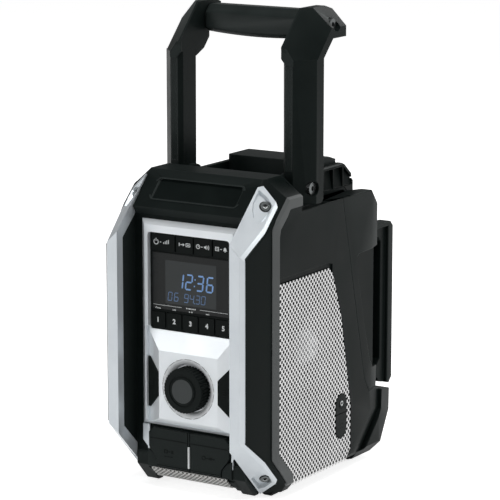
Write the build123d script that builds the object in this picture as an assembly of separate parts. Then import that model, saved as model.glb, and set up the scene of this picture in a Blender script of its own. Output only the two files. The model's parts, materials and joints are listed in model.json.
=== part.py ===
from build123d import *
import os

os.makedirs("parts", exist_ok=True)

# ---------------------------------------------------------------- clearances and walls
gap = 0.4                   # running clearance
seat = 0.1                  # clearance of a piece that drops into its seat
skin = 3.0                  # wall of the housings
far = 400.0                 # beyond every face, for cutting

# ---------------------------------------------------------------- housing outline
body_half = 82.0            # half of the overall width, over the rubber strips
side_inset = 0.8            # housing sides lie this far inside the strips
base_z = 10.0               # underside between the feet
corner_z = 4.0              # underside of the four corners
corner_half = body_half - 9.0
side_low_z = 14.0
flank_front_x = body_half - 9.0   # plan of the front corner: at the bar
flank_front_y = -130.0
flank_x = body_half - 2.0         # and where it meets the rubber strip
flank_y = -97.4
strip_back_y = -88.0
strip_sink = 2.0
channel_floor_y = -105.0    # floor of the front channel
channel_foot_z = 16.6       # lower edge of that floor
brow_crease_y = -109.0      # fold between the channel and the sloping brow
brow_crease_z = 257.0
brow_foot_z = 250.0
top_z = 287.0
top_crease_y = -79.0        # brow meets the flat top
top_rear_y = -49.5          # flat top ends and the handle wells start
top_flat_half = body_half - 22.0
top_wall = 5.0
shoulder_z = 270.0          # side walls end here and the shoulder slope starts
deck_z = 257.0              # deck beside the centre block
deck_wall = 10.0
well_z = 250.0              # floor of the handle wells
well_rear_y = 36.5
seam_top_y = 22.0           # front to rear seam
seam_low_y = 64.0
seam_low_z = 80.0
seam_foot_y = 72.0
rear_low_z = 67.5           # lower edge of the rear housing
rear_y = 92.0
rear_top_y = 75.0           # rear top corner is cut off
rear_corner_z = 242.0
bumper_y = 123.0            # rear lower corners stand out this far
bumper_top_z = 58.6
bumper_low_z = 38.0
bumper_taper = 6.0          # and lean in by this much
bumper_inner_x = body_half - 28.0
bumper_step_y = 99.0
bumper_step_rise = 4.0
bumper_centre_y = 96.0
front_wall = 7.0
side_wall = 5.2
badge_width = 88.0
badge_height = 24.0
badge_depth = 1.6
badge_radius = 4.0
valley_front_y = 76.0       # the sides sink before the raised edge of the rear corners
valley_back_y = 101.0
valley_depth = 5.4
valley_floor_z = 12.0
valley_bend_z = 44.0
corner_front_y = -60.0      # the front corners end here
corner_rear_y = 55.0        # and the rear ones start

# ---------------------------------------------------------------- corner bars
bar_inner_x = body_half - 23.3
bar_fold_x = bar_inner_x + 10.3
bar_outer_x = bar_inner_x + 13.8
bar_front_y = -134.0
bar_side_y = -130.0
bar_depth = 9.0
bar_flare = 0.19            # outer edge leans out this much per mm of depth
bar_limit = bar_inner_x + 18.7    # outermost edge of both facets
bar_top_z = 238.0
bar_low_z = 54.0
bar_end_y = -83.2
bar_edge = 2.6              # bevel along the outer edge of the facets
bar_tip = (-0.52, 0.23, 0.82)     # facing of the cut at the inner upper corner
bar_tip_cut = (0.0, -87.5, 281.4)  # measured from the bar's inner edge
facet_sink = 1.5            # housing corners lie this far below the bar faces
upper_facet = (0.59, -0.55, 0.59)
lower_facet = (0.4685, -0.6247, -0.6247)
recess_depth = 3.4
recess_taper = 24.0
screw_floor = 4.2           # metal left under the screw heads
screw_seat_radius = 5.2
screw_head_radius = 4.4
screw_head_height = 2.4
socket_radius = 2.2
socket_depth = 1.6
screw_shank_radius = 2.0
screw_shank_length = 14.0
upper_screw = (10.6, -91.2, 267.3)     # x is measured from the bar's inner edge
lower_screw = (10.2, -91.0, 18.0)
upper_recess = (
    (1.9, -88.0, 279.6), (1.7, -98.0, 270.0), (3.6, -102.1, 264.2), (6.5, -105.2, 258.4),
    (10.8, -105.4, 254.0), (13.8, -101.4, 254.6), (15.2, -94.0, 260.0), (15.2, -87.4, 266.4),
    (10.0, -86.4, 273.0),
)
lower_recess = (
    (15.2, -93.0, 24.4), (14.6, -86.4, 17.4), (6.4, -86.2, 11.0), (1.4, -88.6, 9.6),
    (1.4, -100.6, 21.8), (10.6, -102.6, 30.9),
)

# ---------------------------------------------------------------- front panel
panel_half = bar_inner_x - 7.7
panel_low_z = 59.0
panel_high_z = 246.5
panel_face_y = -109.0
panel_bevel_angle = 48.0
collar_half = panel_half - 5.0
collar_low_z = 62.0
collar_high_z = 243.0
collar_back_y = -98.5
control_half = panel_half - 8.0
control_low_z = 147.0
control_high_z = 235.5
control_radius = 3.0
control_face_y = -104.6
control_thickness = 4.0
plateau_half = panel_half - 20.0
plateau_foot_half = panel_half - 6.0
plateau_top_z = 129.0
plateau_face_y = -110.0
plateau_sill_z = 66.5       # below this it slopes back to the panel's lower edge
dial_z = 97.3
dial_radius = 27.3
knob_radius = 20.6
knob_nose_radius = 11.6
knob_shoulder_y = -117.5
knob_front_y = -120.0
knob_chamfer = 2.0
shaft_radius = 3.0
shaft_end_y = -114.0
encoder_half = 7.0
encoder_depth = 4.0
window_half = control_half - 1.5
window_low_z = 165.2
window_high_z = 217.4
window_thickness = 1.6
window_lift = 0.2
display_half = 26.8
display_low_z = 171.8
display_high_z = 210.9
preset_count = 5
preset_pitch = 0.4012 * control_half
preset_width = preset_pitch - 1.85
preset_low_z = 148.4
preset_high_z = 163.2
function_low_z = 218.9
function_high_z = 234.6
function_spans = {          # in shares of the insert's half width
    "power_button": (-0.981, -0.379),
    "source_button": (-0.347, 0.067),
    "clock_button": (0.098, 0.530),
    "menu_button": (0.563, 0.981),
}
button_gap = 0.2
button_lift = 1.0           # button faces stand this far out of the insert
button_radius = 0.8
button_flange = 0.5
button_flange_depth = 0.8
button_travel = 0.8
tune_outer_x = panel_half - 6.2
tune_inner_x = panel_half - 19.4
tune_corner_x = panel_half - 8.4
tune_levels = (121.3, 109.2, 87.2, 75.2)
tune_lift = 1.2

# ---------------------------------------------------------------- port covers
cover_half = panel_half - 8.2
cover_split = 1.3           # half of the bright strip between the covers
cover_top_z = 57.0
cover_low_z = 20.6
cover_face_y = -109.6
cover_chamfer = 4.6
cover_taper_z = 40.0
cover_low_half = cover_half - 8.8
port_block_half = 32.0
port_block_low_z = 31.0
port_block_high_z = 51.0
port_block_back_y = -88.0
usb_width = 13.2
usb_height = 5.8
usb_depth = 12.0
jack_radius = 1.9
port_x = 20.0
port_z = 41.0

# ---------------------------------------------------------------- side grilles and speakers
grille_thickness = 1.2
grille_sink = 0.2
grille_recess = 2.0
grille_low_z = 10.4         # the mesh wraps over the lower edge
lip_high_z = 201.6          # a shallow step lies above the mesh
lip_depth = 1.6
speaker_y = -24.0
speaker_z = 128.0
speaker_radius = 44.0
speaker_hole_radius = 39.0
speaker_flange = 2.4
basket_depth = 22.0
basket_mouth_radius = 40.0
basket_throat_radius = 27.0
basket_wall = 2.0
magnet_radius = 23.0
magnet_depth = 11.0
cone_throat_radius = 15.0
cone_depth = 15.0
cone_wall = 1.2
surround_width = 5.0
cap_height = 5.0
sub_radius = 50.0
sub_hole_radius = 44.0
sub_y = -32.0
sub_depth = 26.0
sub_mouth_radius = 46.0
sub_throat_radius = 34.0
sub_magnet_radius = 30.0
sub_magnet_depth = 13.0
sub_cone_throat_radius = 18.0
bottom_grille_half = bar_inner_x - 4.7
bottom_grille_z = 8.4
bottom_grille_rear_y = 24.0
bottom_grille_thickness = 1.4
bottom_grille_nose_z = 17.8

# ---------------------------------------------------------------- boards
board_thickness = 1.6
main_board_z = 213.0
main_board_half = body_half - 20.0
main_board_front_y = -84.0
main_board_rear_y = 18.0
post_radius = 3.0
post_x = body_half - 25.0
post_places_y = (-40.0, 8.0)

# ---------------------------------------------------------------- power inlet
inlet_y = 21.5
inlet_z = 46.5
inlet_radius = 6.0
inlet_depth = 12.0
inlet_bore = 3.0
inlet_pin_radius = 0.9
inlet_half = 9.8
inlet_low_z = 33.6
inlet_high_z = 75.4
inlet_fold_z = 57.0
inlet_thickness = 1.8
inlet_screw_z = 65.0
inlet_screw_radius = 3.2

# ---------------------------------------------------------------- rear deck and rear
block_half = body_half - 30.4     # centre block between the handle legs
block_edge_half = block_half - 1.6
block_top_z = 279.5
block_edge_z = 277.9
block_hollow_half = 38.0
deck_end_y = 91.6
deck_fall = (0.23, 0.064, -0.97)   # facing into the sloping deck beside the block
deck_slope = ((74.0, 279.5), (88.7, 267.6))   # the block's rear corner is cut off
tray_half = 44.6
tray_z = 268.0
pad_half = 44.5
pad_front_y = 25.0
pad_rear_y = 74.0
pad_slope_y = 61.0
pad_top_z = 286.4
pad_end_z = 282.4
pad_radius = 4.0
pocket_count = 3
pocket_first_y = 39.0
pocket_pitch = 17.5
fin_thickness = 2.0
pocket_top_depth = 4.2
pocket_low_depth = 1.0
pocket_low_z = 257.8
pocket_high_z = 276.2
pocket_roof = 3.2
bay_half = 42.0
bay_front_y = 36.0
bay_low_z = 92.0
bay_high_z = 205.0
bay_wall = 2.4
terminal_half = 14.0
terminal_depth = 6.0
terminal_low_z = 150.0
terminal_high_z = 185.0
door_half = 49.0
door_low_z = 82.0
door_high_z = 214.0
door_bulge = 22.0
door_wall = 2.6
door_low_slope = 10.0
door_high_slope = 24.0
door_lip = 6.0
hinge_y = 96.4
hinge_z = 77.0
hinge_pin_radius = 2.0
knuckle_radius = 3.8
knuckle_half = 40.0
bracket_width = 5.0
latch_half = 14.0
latch_low_z = 158.0
latch_high_z = 180.0
latch_depth = 4.0
latch_travel = 5.0
latch_groove_count = 4
guard_inner_x = body_half - 22.5
guard_outer_x = body_half - 10.5
guard_rear_y = 134.0
guard_depth = 18.0
guard_low_z = 61.6
guard_high_z = 218.4
guard_arm = 13.0
guard_rise = 3.0            # the lower end slopes up towards the housing
guard_chamfer = 5.0
guard_rail = 9.5            # the outer side sinks in front of this much of the rail
guard_cap = 4.0             # and below this much of the top
guard_web_depth = 3.5
grip_recess_depth = 7.0
rear_screw_x = body_half - 9.0
rear_screw_levels = (75.5, 226.0)
rear_screw_radius = 3.4
rear_screw_head = 2.4
rear_shank_radius = 1.5
rear_shank_length = 15.0
boss_radius = 4.2

# ---------------------------------------------------------------- handle
overall_height = 430.0
pivot_y = -24.3
pivot_z = 272.5
leg_inner_x = body_half - 29.0
leg_outer_x = body_half - 2.5
leg_depth = 28.2
leg_foot_chamfer = 3.0
leg_strip_inner_x = leg_inner_x + 3.4
leg_strip_outer_x = leg_inner_x + 11.6
leg_corner_back = 16.0      # the outer front corner is cut back this far
leg_inner_back = 3.4
leg_rear_chamfer = 3.8
leg_bend_z = overall_height - 43.0
head_rear_y = 28.5
head_low_z = overall_height - 27.0
head_nose = 1.6             # the front leans out above the bend
head_nose_rise = 11.0
head_front_round = 4.0
head_rear_round = 8.0
root_half = 7.0             # the inner side of the head is deeper than the outer one
root_outline = ((-13.5, -49.0), (-0.2, -43.0), (8.8, -33.4), (8.8, -24.0), (-14.0, -24.0))
head_front_top_y = -12.0
head_bevel = 14.5
head_top_z = overall_height - 3.0
head_facet = (0.646, -0.553, 0.522)
ear_thickness = 6.6
ear_radius = 11.4
pivot_hole_radius = 6.2
pivot_hole_depth = 7.0
pivot_head_radius = 5.6
pivot_head_height = 4.0
pivot_shank_radius = 4.0
grip_y = 12.5
grip_z = overall_height - 15.4
grip_depth = 26.0
grip_height = 24.4
grip_chamfer = 7.0
core_radius = 8.0
core_half = body_half - 14.0
grip_bolt_radius = 5.2
grip_bolt_height = 4.0
grip_hole_radius = 6.0
grip_shank_radius = 3.0
grip_shank_length = 16.0

# ---------------------------------------------------------------- feet
foot_inner_x = body_half - 26.5
foot_outer_x = body_half - 16.0
foot_length = 14.0
foot_height = 9.0
foot_chamfer = 1.5
front_foot_y = -68.0
rear_foot_y = 70.0

side_x = body_half - side_inset
inner_x = side_x - side_wall
leg_front_y = pivot_y - leg_depth / 2
leg_rear_y = pivot_y + leg_depth / 2
upper_point = (bar_inner_x, bar_front_y, bar_top_z)
lower_point = (bar_inner_x, bar_front_y, bar_low_z)
sub_top_z = base_z + skin
cover_thickness = channel_floor_y - cover_face_y

parts = {}


# ---------------------------------------------------------------- helpers
def block(x0, x1, y0, y1, z0, z1):
    """Box between two corners."""
    centre = Pos((x0 + x1) / 2, (y0 + y1) / 2, (z0 + z1) / 2)
    return centre * Box(abs(x1 - x0), abs(y1 - y0), abs(z1 - z0))


def side_prism(points, x0, x1):
    """Outline in (y, z), drawn along x."""
    face = make_face(Polyline(*[(x0, y, z) for y, z in points], close=True))
    return extrude(face, amount=x1 - x0, dir=(1, 0, 0))


def plan_prism(points, z0, z1):
    """Outline in (x, y), drawn along z."""
    face = make_face(Polyline(*[(x, y, z0) for x, y in points], close=True))
    return extrude(face, amount=z1 - z0, dir=(0, 0, 1))


def front_prism(points, y0, y1):
    """Outline in (x, z), drawn along y."""
    face = make_face(Polyline(*[(x, y0, z) for x, z in points], close=True))
    return extrude(face, amount=y1 - y0, dir=(0, 1, 0))


def rod_x(radius, x0, x1, y, z):
    return Pos((x0 + x1) / 2, y, z) * (Rot(0, 90, 0) * Cylinder(radius, abs(x1 - x0)))


def rod_y(radius, x, y0, y1, z):
    return Pos(x, (y0 + y1) / 2, z) * (Rot(90, 0, 0) * Cylinder(radius, abs(y1 - y0)))


def rod_z(radius, x, y, z0, z1):
    return Pos(x, y, (z0 + z1) / 2) * Cylinder(radius, abs(z1 - z0))


def turned_x(profile):
    """Round piece of a side speaker, from an (x, radius) outline."""
    face = make_face(Polyline(*[(x, speaker_y, speaker_z + radius) for x, radius in profile], close=True))
    return revolve(face, axis=Axis((0, speaker_y, speaker_z), (1, 0, 0)))


def turned_z(profile):
    """Round piece of the bass speaker, from a (radius, z) outline."""
    face = make_face(Polyline(*[(radius, sub_y, z) for radius, z in profile], close=True))
    return revolve(face, axis=Axis((0, sub_y, 0), (0, 0, 1)))


def sunk(point, normal, depth):
    """Point moved inwards from a face."""
    return tuple(Vector(*point) - Vector(*normal).normalized() * depth)


def onto(point, origin, normal):
    """Nearest point of a plane."""
    unit = Vector(*normal).normalized()
    start = Vector(*point)
    return tuple(start - unit * (start - Vector(*origin)).dot(unit))


def onto_along_z(place, origin, normal):
    """Point of a plane that lies straight above or below (x, y)."""
    x, y = place
    rise = (normal[0] * (x - origin[0]) + normal[1] * (y - origin[1])) / normal[2]
    return (x, y, origin[2] - rise)


def behind(solid, point, normal):
    """Keep what lies behind a plane."""
    return split(solid, bisect_by=Plane(origin=point, z_dir=normal), keep=Keep.BOTTOM)


def flip_x(solid):
    return mirror(solid, about=Plane.YZ)


def front_plate(x0, x1, z0, z1, y0, y1, radius):
    """Rounded rectangle seen from the front, from y0 back to y1."""
    plane = Plane(origin=((x0 + x1) / 2, y0, (z0 + z1) / 2), x_dir=(1, 0, 0), z_dir=(0, -1, 0))
    return extrude(plane * RectangleRounded(x1 - x0, z1 - z0, radius), amount=y0 - y1)


def side_sheet(points, margin, x0, x1):
    """Flat sheet with a (y, z) outline grown by a margin."""
    face = make_face(Polyline(*[(y, z) for y, z in points], close=True))
    if margin:
        face = offset(face, amount=margin, kind=Kind.INTERSECTION)
    plane = Plane(origin=(x0, 0, 0), x_dir=(0, 1, 0), z_dir=(1, 0, 0))
    return extrude(plane * face, amount=x1 - x0)


def largest(shape):
    return shape.solids().sort_by(SortBy.VOLUME)[-1]


def keep_pair(name, solid):
    """A right-hand piece and its mirror image."""
    parts[name + "_right"] = solid
    parts[name + "_left"] = flip_x(solid)


# ---------------------------------------------------------------- outer shape of the body
def corner_facets(solid, depth):
    """Cut the two sloping facets of the right-hand front corner."""
    solid = behind(solid, sunk(upper_point, upper_facet, depth), upper_facet)
    return behind(solid, sunk(lower_point, lower_facet, depth), lower_facet)


def right_half(half):
    """Right half of the front and base, with its side at x = half."""
    plan = [
        (0, flank_front_y),
        (flank_front_x, flank_front_y),
        (flank_x - body_half + half, flank_y),
        (half, strip_back_y),
        (half, rear_y),
        (half - bumper_taper, bumper_y),
        (0, bumper_y),
    ]
    profile = [
        (flank_front_y, corner_z),
        (flank_front_y, top_z),
        (top_rear_y, top_z),
        (top_rear_y, deck_z),
        (seam_top_y, deck_z),
        (seam_low_y, seam_low_z),
        (seam_foot_y, rear_low_z),
        (rear_y, rear_low_z),
        (bumper_step_y, bumper_top_z + bumper_step_rise),
        (bumper_y, bumper_top_z),
        (bumper_y - 1.0, bumper_low_z),
        (rear_y - 2.0, corner_z),
    ]
    across = [
        (0, corner_z), (corner_half, corner_z), (half, side_low_z), (half, shoulder_z),
        (top_flat_half, top_z), (0, top_z),
    ]
    solid = plan_prism(plan, 0, far) & side_prism(profile, 0, half)
    solid = solid & front_prism(across, flank_front_y, bumper_y)
    return corner_facets(solid, facet_sink)


def bar_solid():
    """Right-hand corner bar without its screw recesses."""
    bar = block(bar_inner_x, body_half, bar_front_y, bar_end_y, 0, top_z)
    bar = corner_facets(bar, 0)
    bevel = (bar_side_y - bar_front_y, bar_fold_x - bar_outer_x, 0)
    bar = behind(bar, (bar_fold_x, bar_front_y, 0), bevel)
    bar = behind(bar, (bar_outer_x, bar_side_y, 0), (1, -bar_flare, 0))
    bar -= block(bar_limit, far, bar_front_y, 0, 0, far)
    # bevels along the outer edge of the facets, and the cut inner corner at the top
    side = Vector(1, -bar_flare, 0).normalized()
    for origin, facing in ((upper_point, upper_facet), (lower_point, lower_facet)):
        slope = Vector(*facing).normalized()
        for outward, edge_x, edge_y in ((side, bar_outer_x, bar_side_y), (Vector(1, 0, 0), bar_limit, bar_end_y)):
            edge = onto_along_z((edge_x - bar_edge, edge_y), origin, facing)
            bar = behind(bar, edge, tuple(slope + outward))
    bar = behind(bar, (bar_inner_x + bar_tip_cut[0], *bar_tip_cut[1:]), bar_tip)
    core = block(-1, far, bar_front_y + bar_depth, far, -far, far)
    return largest(bar - corner_facets(core, bar_depth))


def from_bar(point):
    """Point whose x is given from the bar's inner edge."""
    return (bar_inner_x + point[0], *point[1:])


def screw_places():
    """Centre on the face, and facing, of the two screws of the right-hand bar."""
    return [
        (onto(from_bar(upper_screw), upper_point, upper_facet), upper_facet),
        (onto(from_bar(lower_screw), lower_point, lower_facet), lower_facet),
    ]


strip_outline = [
    (flank_y, 41.0), (flank_y, 246.5), (-85.5, 264.5), (-78.0, 280.0), (top_rear_y, 280.0),
    (top_rear_y, 261.6), (-70.4, 261.6), (-75.1, 255.7), (-86.3, 246.0), (strip_back_y, 239.5),
    (strip_back_y, 43.5), (-64.2, 20.2), (-64.2, 6.0), (-75.0, 6.0), (-75.6, 15.5), (-90.0, 31.5),
]
grille_outline = [
    (strip_back_y + 0.8, 196.9), (-2.0, 196.0), (3.6, 192.5), (7.5, 184.0), (21.4, 146.0),
    (34.3, 82.6), (38.6, 62.0), (38.8, 20.0), (30.0, grille_low_z), (-63.4, grille_low_z),
    (-63.4, 20.6), (strip_back_y + 0.8, 43.9),
]
lip_outline = [
    (strip_back_y + 0.8, 190.0), (strip_back_y + 0.8, lip_high_z), (-2.0, lip_high_z),
    (4.0, lip_high_z - 2.0), (3.6, 190.0),
]
valley_outline = [
    (valley_front_y, rear_low_z + 1.0), (valley_back_y, rear_low_z + 1.0), (valley_back_y - 2.0, valley_bend_z),
    (valley_back_y - 2.0 - valley_bend_z + valley_floor_z, valley_floor_z),
    (valley_front_y - 2.0 - valley_bend_z + valley_floor_z, valley_floor_z),
    (valley_front_y - 2.0, valley_bend_z),
]
grip_recess_outline = [
    (rear_y + 1.0, 202.0), (52.4, 200.7), (49.5, 197.8), (51.5, 178.4), (64.5, 128.8),
    (73.8, 97.0), (82.7, 88.0), (rear_y + 1.0, 88.0),
]


def valley_floors(depth):
    """Sloping floors of the sunk side: a point, and the facing away from the air."""
    reach = valley_back_y - valley_front_y
    slant = reach / 2 ** 0.5
    fall = valley_depth / 2 ** 0.5
    x = side_x - depth
    return [
        ((x, valley_front_y, 0), (-reach, -valley_depth, 0)),
        ((x, valley_front_y - 2.0, valley_bend_z), (-slant, -fall, fall)),
    ]


def inlet_capsule(margin, x0, x1):
    """Upright capsule round the inlet, seen from the side."""
    half = inlet_half + margin
    low_z = inlet_low_z + inlet_half
    high_z = inlet_high_z - inlet_half
    shape = block(x0, x1, inlet_y - half, inlet_y + half, low_z, high_z)
    shape += rod_x(half, x0, x1, inlet_y, low_z)
    return shape + rod_x(half, x0, x1, inlet_y, high_z)


def badge(depth):
    """Space of the plain badge field in the brow."""
    middle_y = (brow_crease_y + top_crease_y) / 2
    middle_z = (brow_crease_z + top_z) / 2
    normal = (0, brow_crease_z - top_z, top_crease_y - brow_crease_y)
    plane = Plane(origin=(0, middle_y, middle_z), x_dir=(1, 0, 0), z_dir=normal)
    return extrude(plane * RectangleRounded(badge_width, badge_height, badge_radius), amount=-depth)


# ---------------------------------------------------------------- housings
def main_housing():
    half = right_half(side_x)
    # front channel and brow between the bars
    channel = [
        (bar_front_y, corner_z - 1), (bar_front_y, far), (top_crease_y, far), (top_crease_y, top_z),
        (brow_crease_y, brow_crease_z), (channel_floor_y, brow_foot_z), (channel_floor_y, channel_foot_z),
        (channel_floor_y + channel_foot_z - base_z, base_z), (channel_floor_y + channel_foot_z - base_z, 0),
    ]
    half -= side_prism(channel, -1, bar_inner_x)
    half -= bar_solid()
    # underside between the feet, and the open middle of the rear corners
    half -= block(-1, bumper_inner_x, bar_front_y, far, 0, base_z)
    half -= block(-1, far, corner_front_y, corner_rear_y, 0, base_z)
    half -= block(-1, bumper_inner_x, bumper_centre_y, far, 0, rear_low_z)
    # recesses for the rubber strip and the grille
    half -= side_prism(strip_outline, side_x - strip_sink, far)
    half -= side_sheet(grille_outline, seat, side_x - grille_recess, far)
    half -= side_prism(lip_outline, side_x - lip_depth, far)
    # the side sinks in front of the raised edge of the rear corner
    for place, facing in valley_floors(0):
        half -= behind(side_prism(valley_outline, side_x - 2 * valley_depth, far), place, facing)
    # hollow inside
    hollow = [
        (channel_floor_y + front_wall, sub_top_z),
        (channel_floor_y + front_wall, brow_foot_z),
        (top_crease_y, top_z - top_wall),
        (top_rear_y - skin, top_z - top_wall),
        (top_rear_y - skin, deck_z - deck_wall),
        (seam_top_y, deck_z - deck_wall),
        (seam_low_y - skin, seam_low_z),
        (seam_foot_y - skin, bumper_top_z),
        (rear_y - skin, bumper_top_z),
        (rear_y - skin, sub_top_z),
    ]
    room = side_prism(hollow, -1, inner_x)
    room = behind(room, sunk(upper_point, upper_facet, 2 * front_wall), upper_facet)
    room = behind(room, sunk(lower_point, lower_facet, 2 * front_wall), lower_facet)
    for place, facing in valley_floors(skin):
        room = behind(room, place, tuple(-value for value in facing))
    half -= room
    # mouth towards the rear housing
    mouth = [
        (seam_top_y - 1, deck_z - deck_wall), (rear_y, deck_z - deck_wall),
        (rear_y, rear_low_z), (seam_low_y - 2 * skin, rear_low_z),
    ]
    half -= side_prism(mouth, -1, inner_x - skin)
    # handle well
    half -= block(block_half + gap, leg_outer_x + gap, top_rear_y, far, well_z, far)
    # speaker opening
    half -= rod_x(speaker_hole_radius, inner_x - 1, far, speaker_y, speaker_z)
    # foot pockets
    for foot_y in (front_foot_y, rear_foot_y):
        half -= block(foot_inner_x - seat, foot_outer_x + seat, foot_y - foot_length / 2 - seat,
                      foot_y + foot_length / 2 + seat, 0, foot_height + seat)
    # threaded seats of the bar screws
    for place, facing in screw_places():
        plane = Plane(origin=sunk(place, facing, bar_depth), z_dir=facing)
        half -= plane * Cylinder(screw_shank_radius, 2 * screw_shank_length)
    # posts for the main board
    for post_y in post_places_y:
        half += rod_z(post_radius, post_x, post_y, main_board_z + board_thickness, deck_z - deck_wall + 1)
    whole = half + flip_x(half)
    # power inlet, on the right side only
    whole -= rod_x(inlet_radius + seat, inner_x - 1, far, inlet_y, inlet_z)
    # openings behind the front panel and behind the port covers
    wall_y = (channel_floor_y - 1, channel_floor_y + front_wall + 1)
    whole -= block(-collar_half - seat, collar_half + seat, *wall_y, collar_low_z - seat, collar_high_z + seat)
    whole -= block(-port_block_half - seat, port_block_half + seat, *wall_y,
                   port_block_low_z - seat, port_block_high_z + seat)
    whole -= badge(badge_depth)
    # upright rib between the two port covers
    whole += block(-cover_split + gap, cover_split - gap, cover_face_y, channel_floor_y,
                   cover_low_z, cover_top_z)
    whole -= rod_z(sub_hole_radius, 0, sub_y, base_z - 1, sub_top_z + 1)
    return largest(whole)


def rear_profile(inset):
    """Side outline of the rear housing."""
    return [
        (seam_top_y + gap + inset, deck_z - inset),
        (rear_top_y - inset / 2, deck_z - inset),
        (rear_y - inset, rear_corner_z - inset / 2),
        (rear_y - inset, rear_low_z + seat + inset),
        (seam_foot_y + gap - inset, rear_low_z + seat + inset),
        (seam_low_y + gap - inset, seam_low_z),
    ]


def rear_housing():
    shell = side_prism(rear_profile(0), -side_x, side_x)
    (place, facing), _ = valley_floors(0)
    shell = behind(shell, place, (-facing[0], -facing[1], 0))
    shell = behind(shell, (-place[0], place[1], 0), (facing[0], -facing[1], 0))
    open_front = rear_profile(skin)
    open_front[0] = (seam_top_y - skin, deck_z - skin)
    open_front[4] = (seam_low_y - 2 * skin, rear_low_z + seat + skin)
    open_front[5] = (seam_low_y - 3 * skin, seam_low_z)
    room = side_prism(open_front, -side_x + skin, side_x - skin)
    (place, facing), _ = valley_floors(skin)
    room = behind(room, place, (-facing[0], -facing[1], 0))
    room = behind(room, (-place[0], place[1], 0), (facing[0], -facing[1], 0))
    grown = grip_recess_depth + skin
    for side in (-1, 1):
        room -= side_sheet(grip_recess_outline, skin, side * side_x - grown, side * side_x + grown)
    shell -= room
    # battery bay
    shell += block(-bay_half - bay_wall, bay_half + bay_wall, bay_front_y - bay_wall, rear_y,
                   bay_low_z - bay_wall, bay_high_z + bay_wall)
    shell -= block(-bay_half, bay_half, bay_front_y, far, bay_low_z, bay_high_z)
    for side in (-1, 1):
        # finger recess
        inside_x = side * (side_x - grip_recess_depth)
        outside_x = side * (side_x + grip_recess_depth)
        shell -= side_sheet(grip_recess_outline, 0, min(inside_x, outside_x), max(inside_x, outside_x))
        # handle well
        well_x = side * (block_half + gap), side * (leg_outer_x + gap)
        shell -= block(*well_x, 0, well_rear_y, well_z, far)
        shell += block(*well_x, seam_top_y + 2 * skin, well_rear_y + skin, well_z - skin, well_z)
        shell += block(*well_x, well_rear_y, rear_top_y, well_z - skin, deck_z)
        # the deck falls towards the centre block behind the well
        falls = block(side * block_half, side * side_x, well_rear_y, deck_end_y, well_z - 1, far)
        falls = behind(falls, (side * side_x, well_rear_y, deck_z), (side * deck_fall[0], *deck_fall[1:]))
        shell -= falls
        # screw bosses and countersunk seats
        for level in rear_screw_levels:
            shell += rod_y(boss_radius, side * rear_screw_x, rear_y - rear_shank_length - skin, rear_y - 1, level)
            shell -= rod_y(rear_screw_radius + seat, side * rear_screw_x, rear_y - rear_screw_head, far, level)
            shell -= rod_y(rear_shank_radius + seat / 2, side * rear_screw_x,
                           rear_y - rear_shank_length - rear_screw_head, far, level)
        # hinge brackets of the battery door
        bracket_x = side * (knuckle_half + gap), side * (knuckle_half + gap + bracket_width)
        shell += block(*bracket_x, rear_y - 1, hinge_y, hinge_z - knuckle_radius, hinge_z + knuckle_radius)
        shell += rod_x(knuckle_radius, *bracket_x, hinge_y, hinge_z)
    shell -= rod_x(hinge_pin_radius + seat / 2, -far, far, hinge_y, hinge_z)
    return largest(shell)


def top_deck():
    across = [
        (-block_half, 0), (-block_half, block_edge_z), (-block_edge_half, block_top_z),
        (block_edge_half, block_top_z), (block_half, block_edge_z), (block_half, 0),
    ]
    start, end = deck_slope
    rear_fall = (deck_end_y - rear_top_y) * (deck_z - rear_corner_z) / (rear_y - rear_top_y)
    profile = [
        (top_rear_y + seat, deck_z + seat), (top_rear_y + seat, far), (start[0], far), start, end,
        (deck_end_y - 2.0, end[1] - 4.8), (deck_end_y, end[1] - 6.6), (deck_end_y, deck_z - rear_fall + 2 * seat),
        (rear_top_y, deck_z + seat),
    ]
    deck = front_prism(across, top_rear_y + seat, rear_y) & side_prism(profile, -block_half, block_half)
    deck -= block(-tray_half, tray_half, top_rear_y - 1, pad_rear_y + seat, tray_z, far)
    deck -= block(-block_hollow_half, block_hollow_half, top_rear_y + skin, deck_end_y - skin, 0, tray_z - skin)
    slope_facing = (0, start[1] - end[1], end[0] - start[0])
    pocket_section = [
        (block_half - pocket_top_depth, pocket_high_z), (body_half, pocket_high_z),
        (body_half, pocket_low_z), (block_half - pocket_low_depth, pocket_low_z),
    ]
    for index in range(pocket_count):
        start_y = pocket_first_y + index * pocket_pitch
        pocket = front_prism(pocket_section, start_y, start_y + pocket_pitch - fin_thickness)
        pocket = behind(pocket, (0, start[0], start[1] - pocket_roof), slope_facing)
        deck -= pocket
        deck -= flip_x(pocket)
    ear_outer = leg_inner_x - gap
    ear = rod_x(ear_radius, ear_outer - ear_thickness, ear_outer, pivot_y, pivot_z)
    ear += block(ear_outer - ear_thickness, ear_outer, pivot_y - ear_radius, pivot_y + ear_radius,
                 well_z + seat, pivot_z)
    ear -= block(0, block_half + gap + seat, -far, far, 0, deck_z + seat)
    ear -= block(0, far, -far, far, 0, deck_z + seat)
    for solid in (ear, flip_x(ear)):
        deck += solid
    deck -= rod_x(pivot_shank_radius + seat / 2, -far, far, pivot_y, pivot_z)
    return largest(deck)


def top_pad():
    low_z = tray_z + seat
    pad = Plane(origin=(0, (pad_front_y + pad_rear_y) / 2, low_z)) * RectangleRounded(
        2 * pad_half, pad_rear_y - pad_front_y, pad_radius)
    profile = [
        (pad_front_y, low_z), (pad_front_y, pad_top_z), (pad_slope_y, pad_top_z),
        (pad_rear_y, pad_end_z), (pad_rear_y, low_z),
    ]
    return extrude(pad, amount=pad_top_z - low_z) & side_prism(profile, -pad_half, pad_half)


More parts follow.
